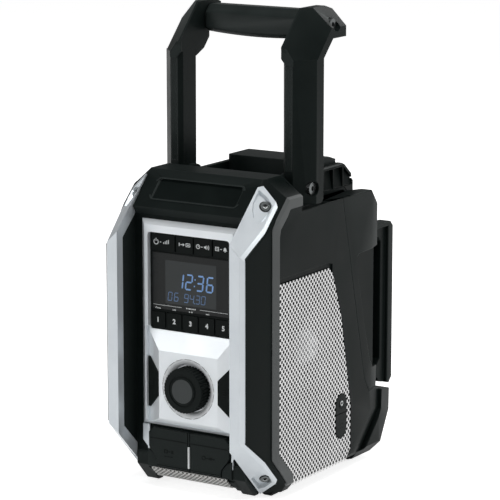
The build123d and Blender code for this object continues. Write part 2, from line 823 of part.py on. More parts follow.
# ---------------------------------------------------------------- corner bars
def corner_bar():
    bar = bar_solid()
    facets = (
        (upper_recess, upper_point, upper_facet),
        (lower_recess, lower_point, lower_facet),
    )
    for corners, origin, facing in facets:
        rim = [onto(from_bar(corner), origin, facing) for corner in corners]
        inward = tuple(-value for value in facing)
        bar -= extrude(make_face(Polyline(*rim, close=True)), amount=recess_depth, dir=inward, taper=recess_taper)
    for place, facing in screw_places():
        floor = Plane(origin=sunk(place, facing, bar_depth - screw_floor), z_dir=facing)
        bar -= floor * Pos(0, 0, bar_depth) * Cylinder(screw_seat_radius, 2 * bar_depth)
        bar -= floor * Cylinder(screw_shank_radius + gap / 2, 3 * screw_floor)
    return largest(bar)


def bar_screws():
    screws = []
    for place, facing in screw_places():
        floor = Plane(origin=sunk(place, facing, bar_depth - screw_floor), z_dir=facing)
        head = floor * Pos(0, 0, screw_head_height / 2) * Cylinder(screw_head_radius, screw_head_height)
        socket = extrude(RegularPolygon(socket_radius, 6), amount=socket_depth)
        head -= floor * Pos(0, 0, screw_head_height - socket_depth) * socket
        length = screw_shank_length - screw_floor
        shank = floor * Pos(0, 0, -length / 2) * Cylinder(screw_shank_radius - seat / 2, length)
        screws.append(head + shank)
    return screws + [flip_x(screw) for screw in screws]


def side_strip():
    return largest(right_half(body_half) & side_prism(strip_outline, side_x - strip_sink + seat, far))


def side_grille():
    outer = side_x - grille_sink
    return side_sheet(grille_outline, 0, outer - grille_thickness, outer)


# ---------------------------------------------------------------- front panel and controls
def tune_outline(margin):
    """Half hexagon of the right-hand side button."""
    high, upper, lower, low = tune_levels
    return [
        (tune_outer_x + margin, high + margin), (tune_corner_x, high + margin),
        (tune_inner_x - margin, upper), (tune_inner_x - margin, lower),
        (tune_corner_x, low - margin), (tune_outer_x + margin, low - margin),
    ]


plateau_side = (channel_floor_y - plateau_face_y, plateau_half - plateau_foot_half, 0)


def front_panel():
    width = 2 * panel_half
    height = panel_high_z - panel_low_z
    plane = Plane(
        origin=(0, channel_floor_y, (panel_low_z + panel_high_z) / 2), x_dir=(1, 0, 0), z_dir=(0, -1, 0))
    tray = extrude(plane * Rectangle(width, height), amount=channel_floor_y - panel_face_y,
                   taper=panel_bevel_angle)
    tray += block(-collar_half, collar_half, channel_floor_y, collar_back_y, collar_low_z, collar_high_z)
    tray -= front_plate(-control_half, control_half, control_low_z, control_high_z,
                        bar_front_y, 0, control_radius)
    tray -= block(-control_half, control_half, control_face_y + control_thickness, 0,
                  control_low_z, control_high_z)
    tray -= block(-plateau_foot_half, plateau_foot_half, bar_front_y, channel_floor_y,
                  collar_low_z, control_low_z + control_radius)
    plateau = block(-plateau_foot_half, plateau_foot_half, plateau_face_y, channel_floor_y,
                    panel_low_z, control_low_z)
    top_facing = (0, plateau_top_z - control_low_z, channel_floor_y - plateau_face_y)
    plateau = behind(plateau, (0, channel_floor_y, control_low_z), top_facing)
    sill_facing = (0, panel_low_z - plateau_sill_z, plateau_face_y - channel_floor_y)
    plateau = behind(plateau, (0, channel_floor_y, panel_low_z), sill_facing)
    for side in (-1, 1):
        facing = (side * plateau_side[0], plateau_side[1], 0)
        plateau = behind(plateau, (side * plateau_foot_half, channel_floor_y, 0), facing)
    tray += plateau
    tray -= rod_y(dial_radius, 0, bar_front_y, channel_floor_y, dial_z)
    tray -= rod_y(shaft_radius + gap, 0, bar_front_y, 0, dial_z)
    tray -= block(-encoder_half - seat, encoder_half + seat, collar_back_y - encoder_depth - seat, 0,
                  dial_z - encoder_half - seat, dial_z + encoder_half + seat)
    hole = front_prism(tune_outline(button_gap), bar_front_y, 0)
    tray -= hole
    tray -= flip_x(hole)
    return largest(tray)


def function_span(name):
    return tuple(share * control_half for share in function_spans[name])


def preset_spans():
    first = -(preset_count - 1) / 2 * preset_pitch
    centres = [first + index * preset_pitch for index in range(preset_count)]
    return [(centre - preset_width / 2, centre + preset_width / 2) for centre in centres]


def button(span, low_z, high_z):
    """Rectangular key with a flange behind the insert."""
    x0, x1 = span
    back_y = control_face_y + control_thickness + seat
    key = front_plate(x0, x1, low_z, high_z, control_face_y - button_lift, back_y, button_radius)
    flange = block(x0 - button_flange, x1 + button_flange, back_y, back_y + button_flange_depth,
                   low_z - button_flange, high_z + button_flange)
    return key + flange


def control_bezel():
    front = control_face_y
    back = control_face_y + control_thickness
    bezel = front_plate(-control_half + seat, control_half - seat, control_low_z + seat,
                        control_high_z - seat, front, back, control_radius)
    openings = [(span, preset_low_z, preset_high_z) for span in preset_spans()]
    openings += [(function_span(name), function_low_z, function_high_z) for name in function_spans]
    for (x0, x1), low_z, high_z in openings:
        bezel -= block(x0 - button_gap, x1 + button_gap, front - 1, back + 1,
                       low_z - button_gap, high_z + button_gap)
    bezel -= block(-window_half - seat, window_half + seat, front - 1, front + window_thickness,
                   window_low_z - seat, window_high_z + seat)
    bezel -= block(-display_half - seat, display_half + seat, front - 1, back + 1,
                   display_low_z - seat, display_high_z + seat)
    return largest(bezel)


def display_window():
    front = control_face_y - window_lift
    return block(-window_half, window_half, front, control_face_y + window_thickness,
                 window_low_z, window_high_z)


def lcd_module():
    return block(-display_half, display_half, control_face_y + window_thickness + seat, collar_back_y,
                 display_low_z, display_high_z)


def tune_button():
    back_y = collar_back_y - button_travel - seat
    key = front_prism(tune_outline(0), bar_front_y, back_y)
    facing = (plateau_side[0], plateau_side[1], 0)
    return behind(key, sunk((plateau_foot_half, channel_floor_y, 0), facing, -tune_lift), facing)


def control_board():
    return block(-collar_half, collar_half, collar_back_y, collar_back_y + board_thickness,
                 collar_low_z, collar_high_z)


def volume_encoder():
    body = block(-encoder_half, encoder_half, collar_back_y - encoder_depth, collar_back_y,
                 dial_z - encoder_half, dial_z + encoder_half)
    return body + rod_y(shaft_radius, 0, shaft_end_y, collar_back_y, dial_z)


def volume_knob():
    knob = rod_y(knob_radius, 0, knob_shoulder_y, channel_floor_y - gap, dial_z)
    knob = chamfer(knob.faces().sort_by(Axis.Y)[0].edges(), knob_chamfer)
    knob += rod_y(knob_nose_radius, 0, knob_front_y, knob_shoulder_y + 1, dial_z)
    return knob - rod_y(shaft_radius + gap / 2, 0, shaft_end_y - gap, 0, dial_z)


# ---------------------------------------------------------------- port covers
def port_cover():
    """Right-hand cover, rounded about its lower edge."""
    turn_y = (cover_face_y + channel_floor_y) / 2
    radius = cover_thickness / 2 - seat
    low_z = cover_low_z + radius
    outline = [
        (cover_split, cover_top_z), (cover_half - cover_chamfer, cover_top_z),
        (cover_half, cover_top_z - cover_chamfer), (cover_half, cover_taper_z),
        (cover_low_half, cover_low_z), (cover_split, cover_low_z),
    ]
    cover = front_prism(outline, cover_face_y, channel_floor_y - 2 * seat)
    side = side_prism([(cover_face_y, low_z), (cover_face_y, far), (channel_floor_y, far),
                       (channel_floor_y, low_z)], 0, cover_half)
    side += rod_x(radius, 0, cover_half, turn_y, low_z)
    return largest(cover & side)


def port_block():
    body = block(-port_block_half, port_block_half, channel_floor_y, port_block_back_y,
                 port_block_low_z, port_block_high_z)
    body -= block(-port_x - usb_width / 2, -port_x + usb_width / 2, bar_front_y,
                  channel_floor_y + usb_depth, port_z - usb_height / 2, port_z + usb_height / 2)
    body -= rod_y(jack_radius, port_x, bar_front_y, channel_floor_y + usb_depth, port_z)
    return body


# ---------------------------------------------------------------- speakers
def speaker_basket():
    mouth_x = inner_x - speaker_flange
    throat_x = mouth_x - basket_depth
    mouth = basket_mouth_radius
    throat = basket_throat_radius
    profile = [
        (inner_x, mouth - basket_wall), (inner_x, speaker_radius), (mouth_x, speaker_radius),
        (mouth_x, mouth), (throat_x, throat), (throat_x, 0), (throat_x + basket_wall, 0),
        (throat_x + basket_wall, throat - basket_wall), (mouth_x, mouth - basket_wall),
    ]
    return turned_x(profile)


def speaker_cone():
    rim_x = inner_x - seat
    throat_x = rim_x - cone_depth
    rim = basket_mouth_radius - basket_wall - gap
    profile = [
        (rim_x, rim), (rim_x, rim - surround_width), (throat_x + cone_wall, cone_throat_radius),
        (throat_x + cap_height, 0), (throat_x + cap_height - cone_wall, 0),
        (throat_x, cone_throat_radius), (rim_x - cone_wall, rim - surround_width + cone_wall / 2),
        (rim_x - cone_wall, rim),
    ]
    return turned_x(profile)


def speaker_magnet():
    throat_x = inner_x - speaker_flange - basket_depth
    return rod_x(magnet_radius, throat_x - magnet_depth, throat_x, speaker_y, speaker_z)


def sub_basket():
    mouth_z = sub_top_z + speaker_flange
    throat_z = mouth_z + sub_depth
    mouth = sub_mouth_radius
    throat = sub_throat_radius
    profile = [
        (mouth - basket_wall, sub_top_z), (sub_radius, sub_top_z), (sub_radius, mouth_z),
        (mouth, mouth_z), (throat, throat_z), (0, throat_z), (0, throat_z - basket_wall),
        (throat - basket_wall, throat_z - basket_wall), (mouth - basket_wall, mouth_z),
    ]
    return turned_z(profile)


def sub_cone():
    rim_z = sub_top_z + seat
    throat_z = rim_z + cone_depth
    rim = sub_mouth_radius - basket_wall - gap
    profile = [
        (rim, rim_z), (rim - surround_width, rim_z), (sub_cone_throat_radius, throat_z - cone_wall),
        (0, throat_z - cap_height), (0, throat_z - cap_height + cone_wall),
        (sub_cone_throat_radius, throat_z), (rim - surround_width + cone_wall / 2, rim_z + cone_wall),
        (rim, rim_z + cone_wall),
    ]
    return turned_z(profile)


def sub_magnet():
    throat_z = sub_top_z + speaker_flange + sub_depth
    return rod_z(sub_magnet_radius, 0, sub_y, throat_z, throat_z + sub_magnet_depth)


def bottom_grille():
    low = bottom_grille_z
    high = low + bottom_grille_thickness
    nose_y = plateau_face_y + 1
    slope_back_y = nose_y + bottom_grille_nose_z - low
    outline = [
        (channel_floor_y, cover_low_z - gap), (nose_y, cover_low_z - gap), (nose_y, bottom_grille_nose_z),
        (slope_back_y, low), (bottom_grille_rear_y, low), (bottom_grille_rear_y, high),
        (slope_back_y + bottom_grille_thickness / 2, high),
        (nose_y + bottom_grille_thickness, bottom_grille_nose_z + bottom_grille_thickness / 2),
        (nose_y + bottom_grille_thickness, cover_low_z - gap - bottom_grille_thickness),
        (channel_floor_y, cover_low_z - gap - bottom_grille_thickness),
    ]
    return side_prism(outline, -bottom_grille_half + seat, bottom_grille_half - seat)


# ---------------------------------------------------------------- boards and power
def main_board():
    return block(-main_board_half, main_board_half, main_board_front_y, main_board_rear_y,
                 main_board_z, main_board_z + board_thickness)


def inlet_jack():
    outer = side_x - grille_recess
    jack = rod_x(inlet_radius, outer - inlet_depth, outer, inlet_y, inlet_z)
    jack -= rod_x(inlet_bore, outer - inlet_depth + skin, far, inlet_y, inlet_z)
    return jack + rod_x(inlet_pin_radius, outer - inlet_depth + 1, outer - skin, inlet_y, inlet_z)


def inlet_pieces():
    """Fixed tab with its screw, and the flap that folds out below it."""
    front = side_x + gap / 2
    whole = inlet_capsule(0, front - inlet_thickness, front)
    tab = whole & block(0, far, 0, far, inlet_fold_z + gap / 2, far)
    head = rod_x(inlet_screw_radius, front - 1, front + gap, inlet_y, inlet_screw_z)
    flap = whole & block(0, far, 0, far, 0, inlet_fold_z - gap / 2)
    return largest(tab + head), largest(flap)


def battery_terminal():
    return block(-terminal_half, terminal_half, bay_front_y, bay_front_y + terminal_depth,
                 terminal_low_z, terminal_high_z)


# ---------------------------------------------------------------- rear
def door_profile(inset):
    front_y = rear_y + gap
    back_y = front_y + door_bulge
    return [
        (front_y, door_low_z + inset),
        (back_y - inset, door_low_z + door_low_slope + inset / 2),
        (back_y - inset, door_high_z - door_high_slope - inset / 2),
        (front_y + door_lip - inset / 2, door_high_z - inset),
        (front_y, door_high_z - inset),
    ]


def battery_door():
    door = side_prism(door_profile(0), -door_half, door_half)
    hollow = door_profile(door_wall)
    hollow[0] = (rear_y, hollow[0][1])
    hollow[-1] = (rear_y, hollow[-1][1])
    door -= side_prism(hollow, -door_half + door_wall, door_half - door_wall)
    arm_y = hinge_y - knuckle_radius + gap, hinge_y + knuckle_radius
    door += block(-knuckle_half, knuckle_half, *arm_y, hinge_z, door_low_z + door_wall)
    door += rod_x(knuckle_radius, -knuckle_half, knuckle_half, hinge_y, hinge_z)
    door -= rod_x(hinge_pin_radius + gap / 2, -far, far, hinge_y, hinge_z)
    back_y = rear_y + gap + door_bulge
    door -= block(-latch_half - gap, latch_half + gap, back_y - door_wall / 2, far,
                  latch_low_z - latch_travel - gap, latch_high_z + gap)
    return largest(door)


def door_latch():
    back_y = rear_y + gap + door_bulge
    floor_y = back_y - door_wall / 2 + seat
    latch = block(-latch_half, latch_half, floor_y, floor_y + latch_depth, latch_low_z, latch_high_z)
    step = (latch_high_z - latch_low_z) / (latch_groove_count + 1)
    for index in range(latch_groove_count):
        groove_z = latch_low_z + (index + 1) * step
        latch -= rod_x(step / 4, -far, far, floor_y + latch_depth, groove_z)
    return latch


def rear_guard():
    front_y = guard_rear_y - guard_depth
    tip = guard_chamfer
    foot_z = guard_low_z + guard_rise
    arm_z = foot_z + tip
    outline = [
        (rear_y, guard_high_z - guard_arm), (rear_y, guard_high_z), (guard_rear_y - tip, guard_high_z),
        (guard_rear_y, guard_high_z - tip), (guard_rear_y, guard_low_z + tip), (guard_rear_y - tip, guard_low_z),
        (front_y, foot_z), (front_y - tip, arm_z), (rear_y, arm_z), (rear_y, arm_z + guard_arm),
        (front_y - tip, arm_z + guard_arm), (front_y, arm_z + tip + guard_arm),
        (front_y, guard_high_z - guard_arm - tip), (front_y - tip, guard_high_z - guard_arm),
    ]
    guard = side_prism(outline, guard_inner_x, guard_outer_x)
    return guard - block(guard_outer_x - guard_web_depth, far, rear_y - 1, guard_rear_y - guard_rail,
                         0, guard_high_z - guard_cap)


def rear_screws():
    screws = []
    for side in (-1, 1):
        for level in rear_screw_levels:
            x = side * rear_screw_x
            head_y = rear_y - rear_screw_head
            screw = rod_y(rear_screw_radius, x, head_y, rear_y - seat, level)
            screw += rod_y(rear_shank_radius, x, head_y - rear_shank_length, head_y, level)
            screw -= rod_y(socket_radius / 2, x, rear_y - socket_depth / 2, far, level)
            screws.append(screw)
    return screws


# ---------------------------------------------------------------- handle
def handle_leg():
    strip_y = leg_front_y
    section = [
        (leg_inner_x, strip_y + leg_inner_back), (leg_strip_inner_x, strip_y), (leg_strip_outer_x, strip_y),
        (leg_outer_x, strip_y + leg_corner_back), (leg_outer_x, leg_rear_y),
        (leg_inner_x + leg_rear_chamfer, leg_rear_y), (leg_inner_x, leg_rear_y - leg_rear_chamfer),
    ]
    shaft = plan_prism(section, pivot_z, leg_bend_z)
    foot_z = pivot_z - leg_depth / 2
    cut = leg_foot_chamfer
    foot_outline = [
        (leg_front_y, pivot_z), (leg_front_y, foot_z + cut), (leg_front_y + cut, foot_z),
        (leg_rear_y - cut, foot_z), (leg_rear_y, foot_z + cut), (leg_rear_y, pivot_z),
    ]
    foot = side_prism(foot_outline, leg_inner_x, leg_outer_x) & plan_prism(section, 0, far)
    reach = head_low_z - leg_bend_z
    outline = [
        (strip_y, leg_bend_z), (strip_y - head_nose, leg_bend_z + head_nose_rise), (head_front_top_y, head_top_z),
        (head_front_top_y + head_front_round, overall_height), (head_rear_y - head_rear_round, overall_height),
        (head_rear_y, head_top_z), (head_rear_y, head_low_z), (leg_rear_y + reach, head_low_z),
        (leg_rear_y, leg_bend_z),
    ]
    head = side_prism(outline, leg_inner_x, leg_outer_x)
    head = behind(head, (leg_strip_outer_x, strip_y, leg_bend_z), head_facet)
    bevel_z = head_top_z - head_bevel
    head = behind(head, (leg_outer_x, 0, bevel_z), (1, 0, 1))
    root = side_prism([(y, overall_height + drop) for y, drop in root_outline], leg_inner_x, leg_inner_x + root_half)
    leg = shaft + foot + head + root
    leg -= rod_x(pivot_hole_radius, leg_outer_x - pivot_hole_depth, far, pivot_y, pivot_z)
    leg -= rod_x(pivot_shank_radius + gap, 0, far, pivot_y, pivot_z)
    leg -= rod_x(core_radius + seat, 0, core_half + seat, grip_y, grip_z)
    leg -= rod_x(grip_hole_radius, core_half + skin, far, grip_y, grip_z)
    leg -= rod_x(grip_shank_radius + seat, 0, far, grip_y, grip_z)
    return largest(leg)


def grip_sleeve():
    half_depth = grip_depth / 2
    half_height = grip_height / 2
    cut = grip_chamfer
    outline = [
        (grip_y - half_depth, grip_z - half_height + cut / 2), (grip_y - half_depth + cut / 2, grip_z - half_height),
        (grip_y + half_depth - cut / 2, grip_z - half_height), (grip_y + half_depth, grip_z - half_height + cut / 2),
        (grip_y + half_depth, grip_z + half_height - cut), (grip_y + half_depth - cut, grip_z + half_height),
        (grip_y - half_depth + cut, grip_z + half_height), (grip_y - half_depth, grip_z + half_height - cut),
    ]
    sleeve = side_prism(outline, -leg_inner_x + seat, leg_inner_x - seat)
    return sleeve - rod_x(core_radius + seat, -far, far, grip_y, grip_z)


def grip_tube():
    tube = rod_x(core_radius, -core_half, core_half, grip_y, grip_z)
    return tube - rod_x(grip_shank_radius, -far, far, grip_y, grip_z)


def grip_bolts():
    floor_x = core_half + skin
    bolt = rod_x(grip_bolt_radius, floor_x, floor_x + grip_bolt_height, grip_y, grip_z)
    bolt += rod_x(grip_shank_radius - seat, floor_x - grip_shank_length, floor_x, grip_y, grip_z)
    bolt -= rod_x(socket_radius, floor_x + grip_bolt_height - socket_depth, far, grip_y, grip_z)
    return [bolt, flip_x(bolt)]


def pivot_bolts():
    floor_x = leg_outer_x - pivot_hole_depth + seat
    bolt = rod_x(pivot_head_radius, floor_x, floor_x + pivot_head_height, pivot_y, pivot_z)
    bolt += rod_x(pivot_shank_radius, leg_inner_x - gap - ear_thickness, floor_x, pivot_y, pivot_z)
    bolt -= rod_x(socket_radius, floor_x + pivot_head_height - socket_depth, far, pivot_y, pivot_z)
    return [bolt, flip_x(bolt)]


def feet():
    pieces = []
    for foot_y in (front_foot_y, rear_foot_y):
        foot = block(foot_inner_x, foot_outer_x, foot_y - foot_length / 2, foot_y + foot_length / 2, 0, foot_height)
        foot = chamfer(foot.faces().sort_by(Axis.Z)[0].edges(), foot_chamfer)
        pieces += [foot, flip_x(foot)]
    return pieces


# ---------------------------------------------------------------- assembly
parts["main_housing"] = main_housing()
parts["rear_housing"] = rear_housing()
parts["top_deck"] = top_deck()
parts["top_pad"] = top_pad()
keep_pair("corner_bar", corner_bar())
parts["bar_screws"] = bar_screws()
keep_pair("side_bumper", side_strip())
parts["side_grille_left"] = flip_x(side_grille())
parts["side_grille_right"] = side_grille() - inlet_capsule(gap, 0, far)
keep_pair("speaker_basket", speaker_basket())
keep_pair("speaker_cone", speaker_cone())
keep_pair("speaker_magnet", speaker_magnet())
parts["woofer_basket"] = sub_basket()
parts["woofer_cone"] = sub_cone()
parts["woofer_magnet"] = sub_magnet()
parts["bottom_grille"] = bottom_grille()
parts["front_panel"] = front_panel()
parts["control_bezel"] = control_bezel()
parts["display_window"] = display_window()
parts["lcd_module"] = lcd_module()
for button_name in function_spans:
    parts[button_name] = button(function_span(button_name), function_low_z, function_high_z)
for preset_number, preset_span in enumerate(preset_spans(), start=1):
    parts[f"preset_button_{preset_number}"] = button(preset_span, preset_low_z, preset_high_z)
keep_pair("tune_button", tune_button())
parts["volume_knob"] = volume_knob()
parts["volume_encoder"] = volume_encoder()
keep_pair("port_cover", port_cover())
parts["port_block"] = port_block()
parts["control_board"] = control_board()
parts["main_board"] = main_board()
parts["inlet_jack"] = inlet_jack()
parts["inlet_tab"], parts["inlet_cover"] = inlet_pieces()
parts["battery_terminal"] = battery_terminal()
parts["battery_door"] = battery_door()
parts["door_latch"] = door_latch()
parts["door_hinge_pin"] = rod_x(
    hinge_pin_radius, -knuckle_half - bracket_width, knuckle_half + bracket_width, hinge_y, hinge_z)
keep_pair("rear_guard", rear_guard())
parts["rear_screws"] = rear_screws()
keep_pair("handle_leg", handle_leg())
parts["grip_sleeve"] = grip_sleeve()
parts["grip_tube"] = grip_tube()
parts["grip_bolts"] = grip_bolts()
parts["pivot_bolts"] = pivot_bolts()
parts["feet"] = feet()

for name, solid in parts.items():
    shape = Compound(children=list(solid)) if isinstance(solid, list) else solid
    export_step(shape, f"parts/{name}.step")
print(len(parts), "parts")
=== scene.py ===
import bpy
import json
import math
from mathutils import Matrix, Vector

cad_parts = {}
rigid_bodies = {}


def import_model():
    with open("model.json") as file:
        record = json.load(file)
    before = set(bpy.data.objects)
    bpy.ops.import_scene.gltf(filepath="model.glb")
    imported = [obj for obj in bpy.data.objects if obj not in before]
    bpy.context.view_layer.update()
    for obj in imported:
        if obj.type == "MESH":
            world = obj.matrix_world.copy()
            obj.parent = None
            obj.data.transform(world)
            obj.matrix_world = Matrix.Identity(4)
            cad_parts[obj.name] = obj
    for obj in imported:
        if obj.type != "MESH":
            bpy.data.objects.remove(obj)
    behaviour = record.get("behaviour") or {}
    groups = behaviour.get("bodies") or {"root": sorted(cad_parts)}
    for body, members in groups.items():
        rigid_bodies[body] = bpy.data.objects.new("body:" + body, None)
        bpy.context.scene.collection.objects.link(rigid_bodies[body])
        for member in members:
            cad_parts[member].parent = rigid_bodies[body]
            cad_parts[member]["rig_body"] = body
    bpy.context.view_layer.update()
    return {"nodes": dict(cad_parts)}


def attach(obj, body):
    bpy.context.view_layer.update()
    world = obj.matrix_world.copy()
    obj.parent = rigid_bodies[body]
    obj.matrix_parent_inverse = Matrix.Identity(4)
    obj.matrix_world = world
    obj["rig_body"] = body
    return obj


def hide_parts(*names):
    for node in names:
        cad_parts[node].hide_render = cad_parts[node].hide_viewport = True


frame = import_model()
nodes = frame["nodes"]
mm = 0.001
sides = ((-1, "left"), (1, "right"))
mergeReach = 0.00002    # metres, joins the corners that neighbouring faces share
cleanReach = 0.00001
smoothAngle = math.radians(40)    # sharper edges stay crisp


# small helpers
def pick(*objs):
    bpy.ops.object.select_all(action="DESELECT")
    for obj in objs:
        obj.select_set(True)
    bpy.context.view_layer.objects.active = objs[0]


def edit(obj, action="DESELECT"):
    pick(obj)
    bpy.ops.object.mode_set(mode="EDIT")
    bpy.ops.mesh.select_mode(type="VERT")
    bpy.ops.mesh.select_all(action=action)


def leave():
    bpy.ops.object.mode_set(mode="OBJECT")


def choose(obj, test, kind="FACE"):
    # picks faces or edges by their middle, from object mode
    bpy.ops.object.mode_set(mode="EDIT")
    bpy.ops.mesh.select_mode(type=kind)
    bpy.ops.mesh.select_all(action="DESELECT")
    bpy.ops.object.mode_set(mode="OBJECT")
    data = obj.data
    if kind == "FACE":
        for face in data.polygons:
            face.select = test(face.center, face.normal)
    else:
        for line in data.edges:
            a, b = (data.vertices[i].co for i in line.vertices)
            line.select = test((a + b) / 2, b - a)
    bpy.ops.object.mode_set(mode="EDIT")
    bpy.ops.mesh.select_mode(type=kind)


def split(obj, place, out, **drop):
    # cuts every face along a plane, and can drop what lies to one side
    edit(obj, "SELECT")
    bpy.ops.mesh.bisect(plane_co=place, plane_no=out, **drop)
    leave()


def fixNormals(obj, reach=cleanReach):
    edit(obj, "SELECT")
    bpy.ops.mesh.remove_doubles(threshold=reach)
    bpy.ops.mesh.normals_make_consistent(inside=False)
    leave()


def faceAlong(obj, axis, sign):
    # turns over a sheet whose faces look away from the given side
    if sum(face.normal[axis] for face in obj.data.polygons) * sign < 0:
        edit(obj, "SELECT")
        bpy.ops.mesh.flip_normals()
        leave()


def roundEdges(obj, width, segments=2, angle=28, overlap=True):
    # bevels the sharp edges, then evens the shading of the flats
    pick(obj)
    bevel = obj.modifiers.new("edgeRound", "BEVEL")
    bevel.width = width * mm
    bevel.segments = segments
    bevel.limit_method = "ANGLE"
    bevel.angle_limit = math.radians(angle)
    bevel.use_clamp_overlap = overlap
    bevel.miter_outer = "MITER_SHARP"
    bpy.ops.object.modifier_apply(modifier=bevel.name)
    bpy.ops.object.shade_smooth_by_angle(angle=smoothAngle)
    even = obj.modifiers.new("evenShade", "WEIGHTED_NORMAL")
    even.keep_sharp = True
    even.weight = 60
    bpy.ops.object.modifier_apply(modifier=even.name)


def thicken(obj, depth):
    pick(obj)
    wall = obj.modifiers.new("wall", "SOLIDIFY")
    wall.thickness = depth * mm
    wall.offset = -1
    bpy.ops.object.modifier_apply(modifier=wall.name)


def added(name, make, **options):
    # a new piece from one of the add operators
    bpy.ops.object.select_all(action="DESELECT")
    make(**options)
    piece = bpy.context.object
    piece.name = name
    return piece


def placed(obj):
    pick(obj)
    bpy.ops.object.transform_apply(location=True, rotation=True, scale=True)
    return obj


def stand(sheet, right, up, place):
    # stands a flat sheet up: its x runs along right, its y along up
    out = Vector(right).cross(Vector(up))
    turn = Matrix((right, up, out)).transposed().to_4x4()
    turn.translation = Vector(place) * mm
    sheet.matrix_world = turn
    return placed(sheet)


def dress(obj, body, material, stands=()):
    obj.data.materials.clear()
    obj.data.materials.append(material)
    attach(obj, body)
    if stands:
        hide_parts(*stands)
    return obj


def mergedCopy(node, name):
    obj = bpy.data.objects.new(name, nodes[node].data.copy())
    bpy.context.scene.collection.objects.link(obj)
    pick(obj)
    bpy.ops.mesh.customdata_custom_splitnormals_clear()
    edit(obj, "SELECT")
    bpy.ops.mesh.remove_doubles(threshold=mergeReach)
    leave()
    return obj


def rounded(node, material, width, overlap):
    # the node's own shape with its edges eased
    obj = mergedCopy(node, node + "_shape")
    roundEdges(obj, width, overlap=overlap)
    return dress(obj, nodes[node]["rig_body"], material, (node,))


def plate(name, outline, depth, right, up, place):
    # a flat shape given across and up, its back at place and its face depth further out
    piece = added(name, bpy.ops.mesh.primitive_circle_add, vertices=len(outline), radius=mm,
                  fill_type="NGON", location=(0, 0, 0))
    for point, (x, y) in zip(piece.data.vertices, outline):
        point.co = (x * mm, y * mm, 0)
    edit(piece, "SELECT")
    bpy.ops.mesh.extrude_region_move(TRANSFORM_OT_translate={"value": (0, 0, depth * mm)})
    bpy.ops.mesh.select_all(action="SELECT")
    bpy.ops.mesh.normals_make_consistent(inside=False)
    leave()
    return stand(piece, right, up, place)


def joined(name, pieces):
    pick(*pieces)
    if len(pieces) > 1:
        bpy.ops.object.join()
    whole = bpy.context.object
    whole.name = name
    whole.data.name = name
    return whole


def plates(name, outlines, depth, right, up, place):
    return joined(name, [plate(name, outline, depth, right, up, place) for outline in outlines])


# on the front, across is x and up is z
facing = {"right": (1, 0, 0), "up": (0, 0, 1)}


def frontPlate(name, outline, depth, y):
    return plate(name, outline, depth, facing["right"], facing["up"], (0, y, 0))


def onFront(name, outlines, y, depth, body, material):
    piece = plates(name, outlines, depth, facing["right"], facing["up"], (0, y, 0))
    return dress(piece, body, material)


# outlines, in millimetres
def mirrored(outline, side):
    return [(side * x, y) for x, y in outline]


def boxShape(x, y, wide, high):
    return [(x - wide / 2, y - high / 2), (x + wide / 2, y - high / 2),
            (x + wide / 2, y + high / 2), (x - wide / 2, y + high / 2)]


def discShape(x, y, radius, corners):
    turns = [math.radians(360 * i / corners) for i in range(corners)]
    return [(x + radius * math.cos(t), y + radius * math.sin(t)) for t in turns]


def slotShape(middle, low, high, radius, step):
    # an upright slot with round ends, centred on low and high
    shape = []
    for degrees in range(0, 360, step):
        turn, centre = math.radians(degrees), low if degrees > 180 else high
        shape.append((middle + radius * math.cos(turn), centre + radius * math.sin(turn)))
    return shape


def arcShape(x, y, radius, width, start, end, steps=10):
    turns = [math.radians(start + (end - start) * i / steps) for i in range(steps + 1)]
    outer = [(x + (radius + width / 2) * math.cos(t), y + (radius + width / 2) * math.sin(t)) for t in turns]
    inner = [(x + (radius - width / 2) * math.cos(t), y + (radius - width / 2) * math.sin(t)) for t in turns]
    return outer + inner[::-1]


def ringShapes(x, y, radius, width):
    return [arcShape(x, y, radius, width, 0, 180, 9), arcShape(x, y, radius, width, 180, 360, 9)]


def lineShape(ax, ay, bx, by, width):
    along = Vector((bx - ax, by - ay)).normalized() * width / 2
    side = Vector((-along.y, along.x))
    return [(ax - side.x, ay - side.y), (bx - side.x, by - side.y), (bx + side.x, by + side.y),
            (ax + side.x, ay + side.y)]


def pathShapes(points, width):
    return [lineShape(*a, *b, width) for a, b in zip(points, points[1:])]


def arrowShape(tip, back, y, half):
    return [(back, y - half), (tip, y), (back, y + half)]


# finishes
pattern = {"clouds": 28.0, "cloudDetail": 4.0, "cloudRough": 0.55, "cloudSpan": (0.3, 0.7),
           "speckDetail": 2.0, "speckRough": 0.6, "speckSpan": (0.35, 0.75), "wornSpan": (0.52, 0.62),
           "coatRough": 0.25}


def srgb(r, g, b):
    def linear(v):
        v = v / 255
        return v / 12.92 if v <= 0.04045 else ((v + 0.055) / 1.055) ** 2.4
    return (linear(r), linear(g), linear(b), 1.0)


def link(tree, a, b):
    tree.links.new(a, b)


def feed(tree, value, socket):
    # a socket takes another node's output or a plain value
    if hasattr(value, "is_linked"):
        link(tree, value, socket)
    else:
        socket.default_value = value


def noiseNode(tree, coords, scale, detail, rough):
    noise = tree.nodes.new("ShaderNodeTexNoise")
    noise.inputs["Scale"].default_value = scale
    noise.inputs["Detail"].default_value = detail
    noise.inputs["Roughness"].default_value = rough
    link(tree, coords, noise.inputs["Vector"])
    return noise.outputs["Fac"]


def rangeNode(tree, value, span, low, high):
    # stretches the span of value to low and high
    node = tree.nodes.new("ShaderNodeMapRange")
    for key, limit in (("From Min", span[0]), ("From Max", span[1]), ("To Min", low), ("To Max", high)):
        node.inputs[key].default_value = limit
    link(tree, value, node.inputs["Value"])
    return node.outputs["Result"]


def mixNode(tree, fac, a, b):
    node = tree.nodes.new("ShaderNodeMix")
    node.data_type = "RGBA"
    link(tree, fac, node.inputs["Factor"])
    for key, value in (("A", a), ("B", b)):
        feed(tree, value, [s for s in node.inputs if s.name == key and s.type == "RGBA"][0])
    return [s for s in node.outputs if s.type == "RGBA"][0]


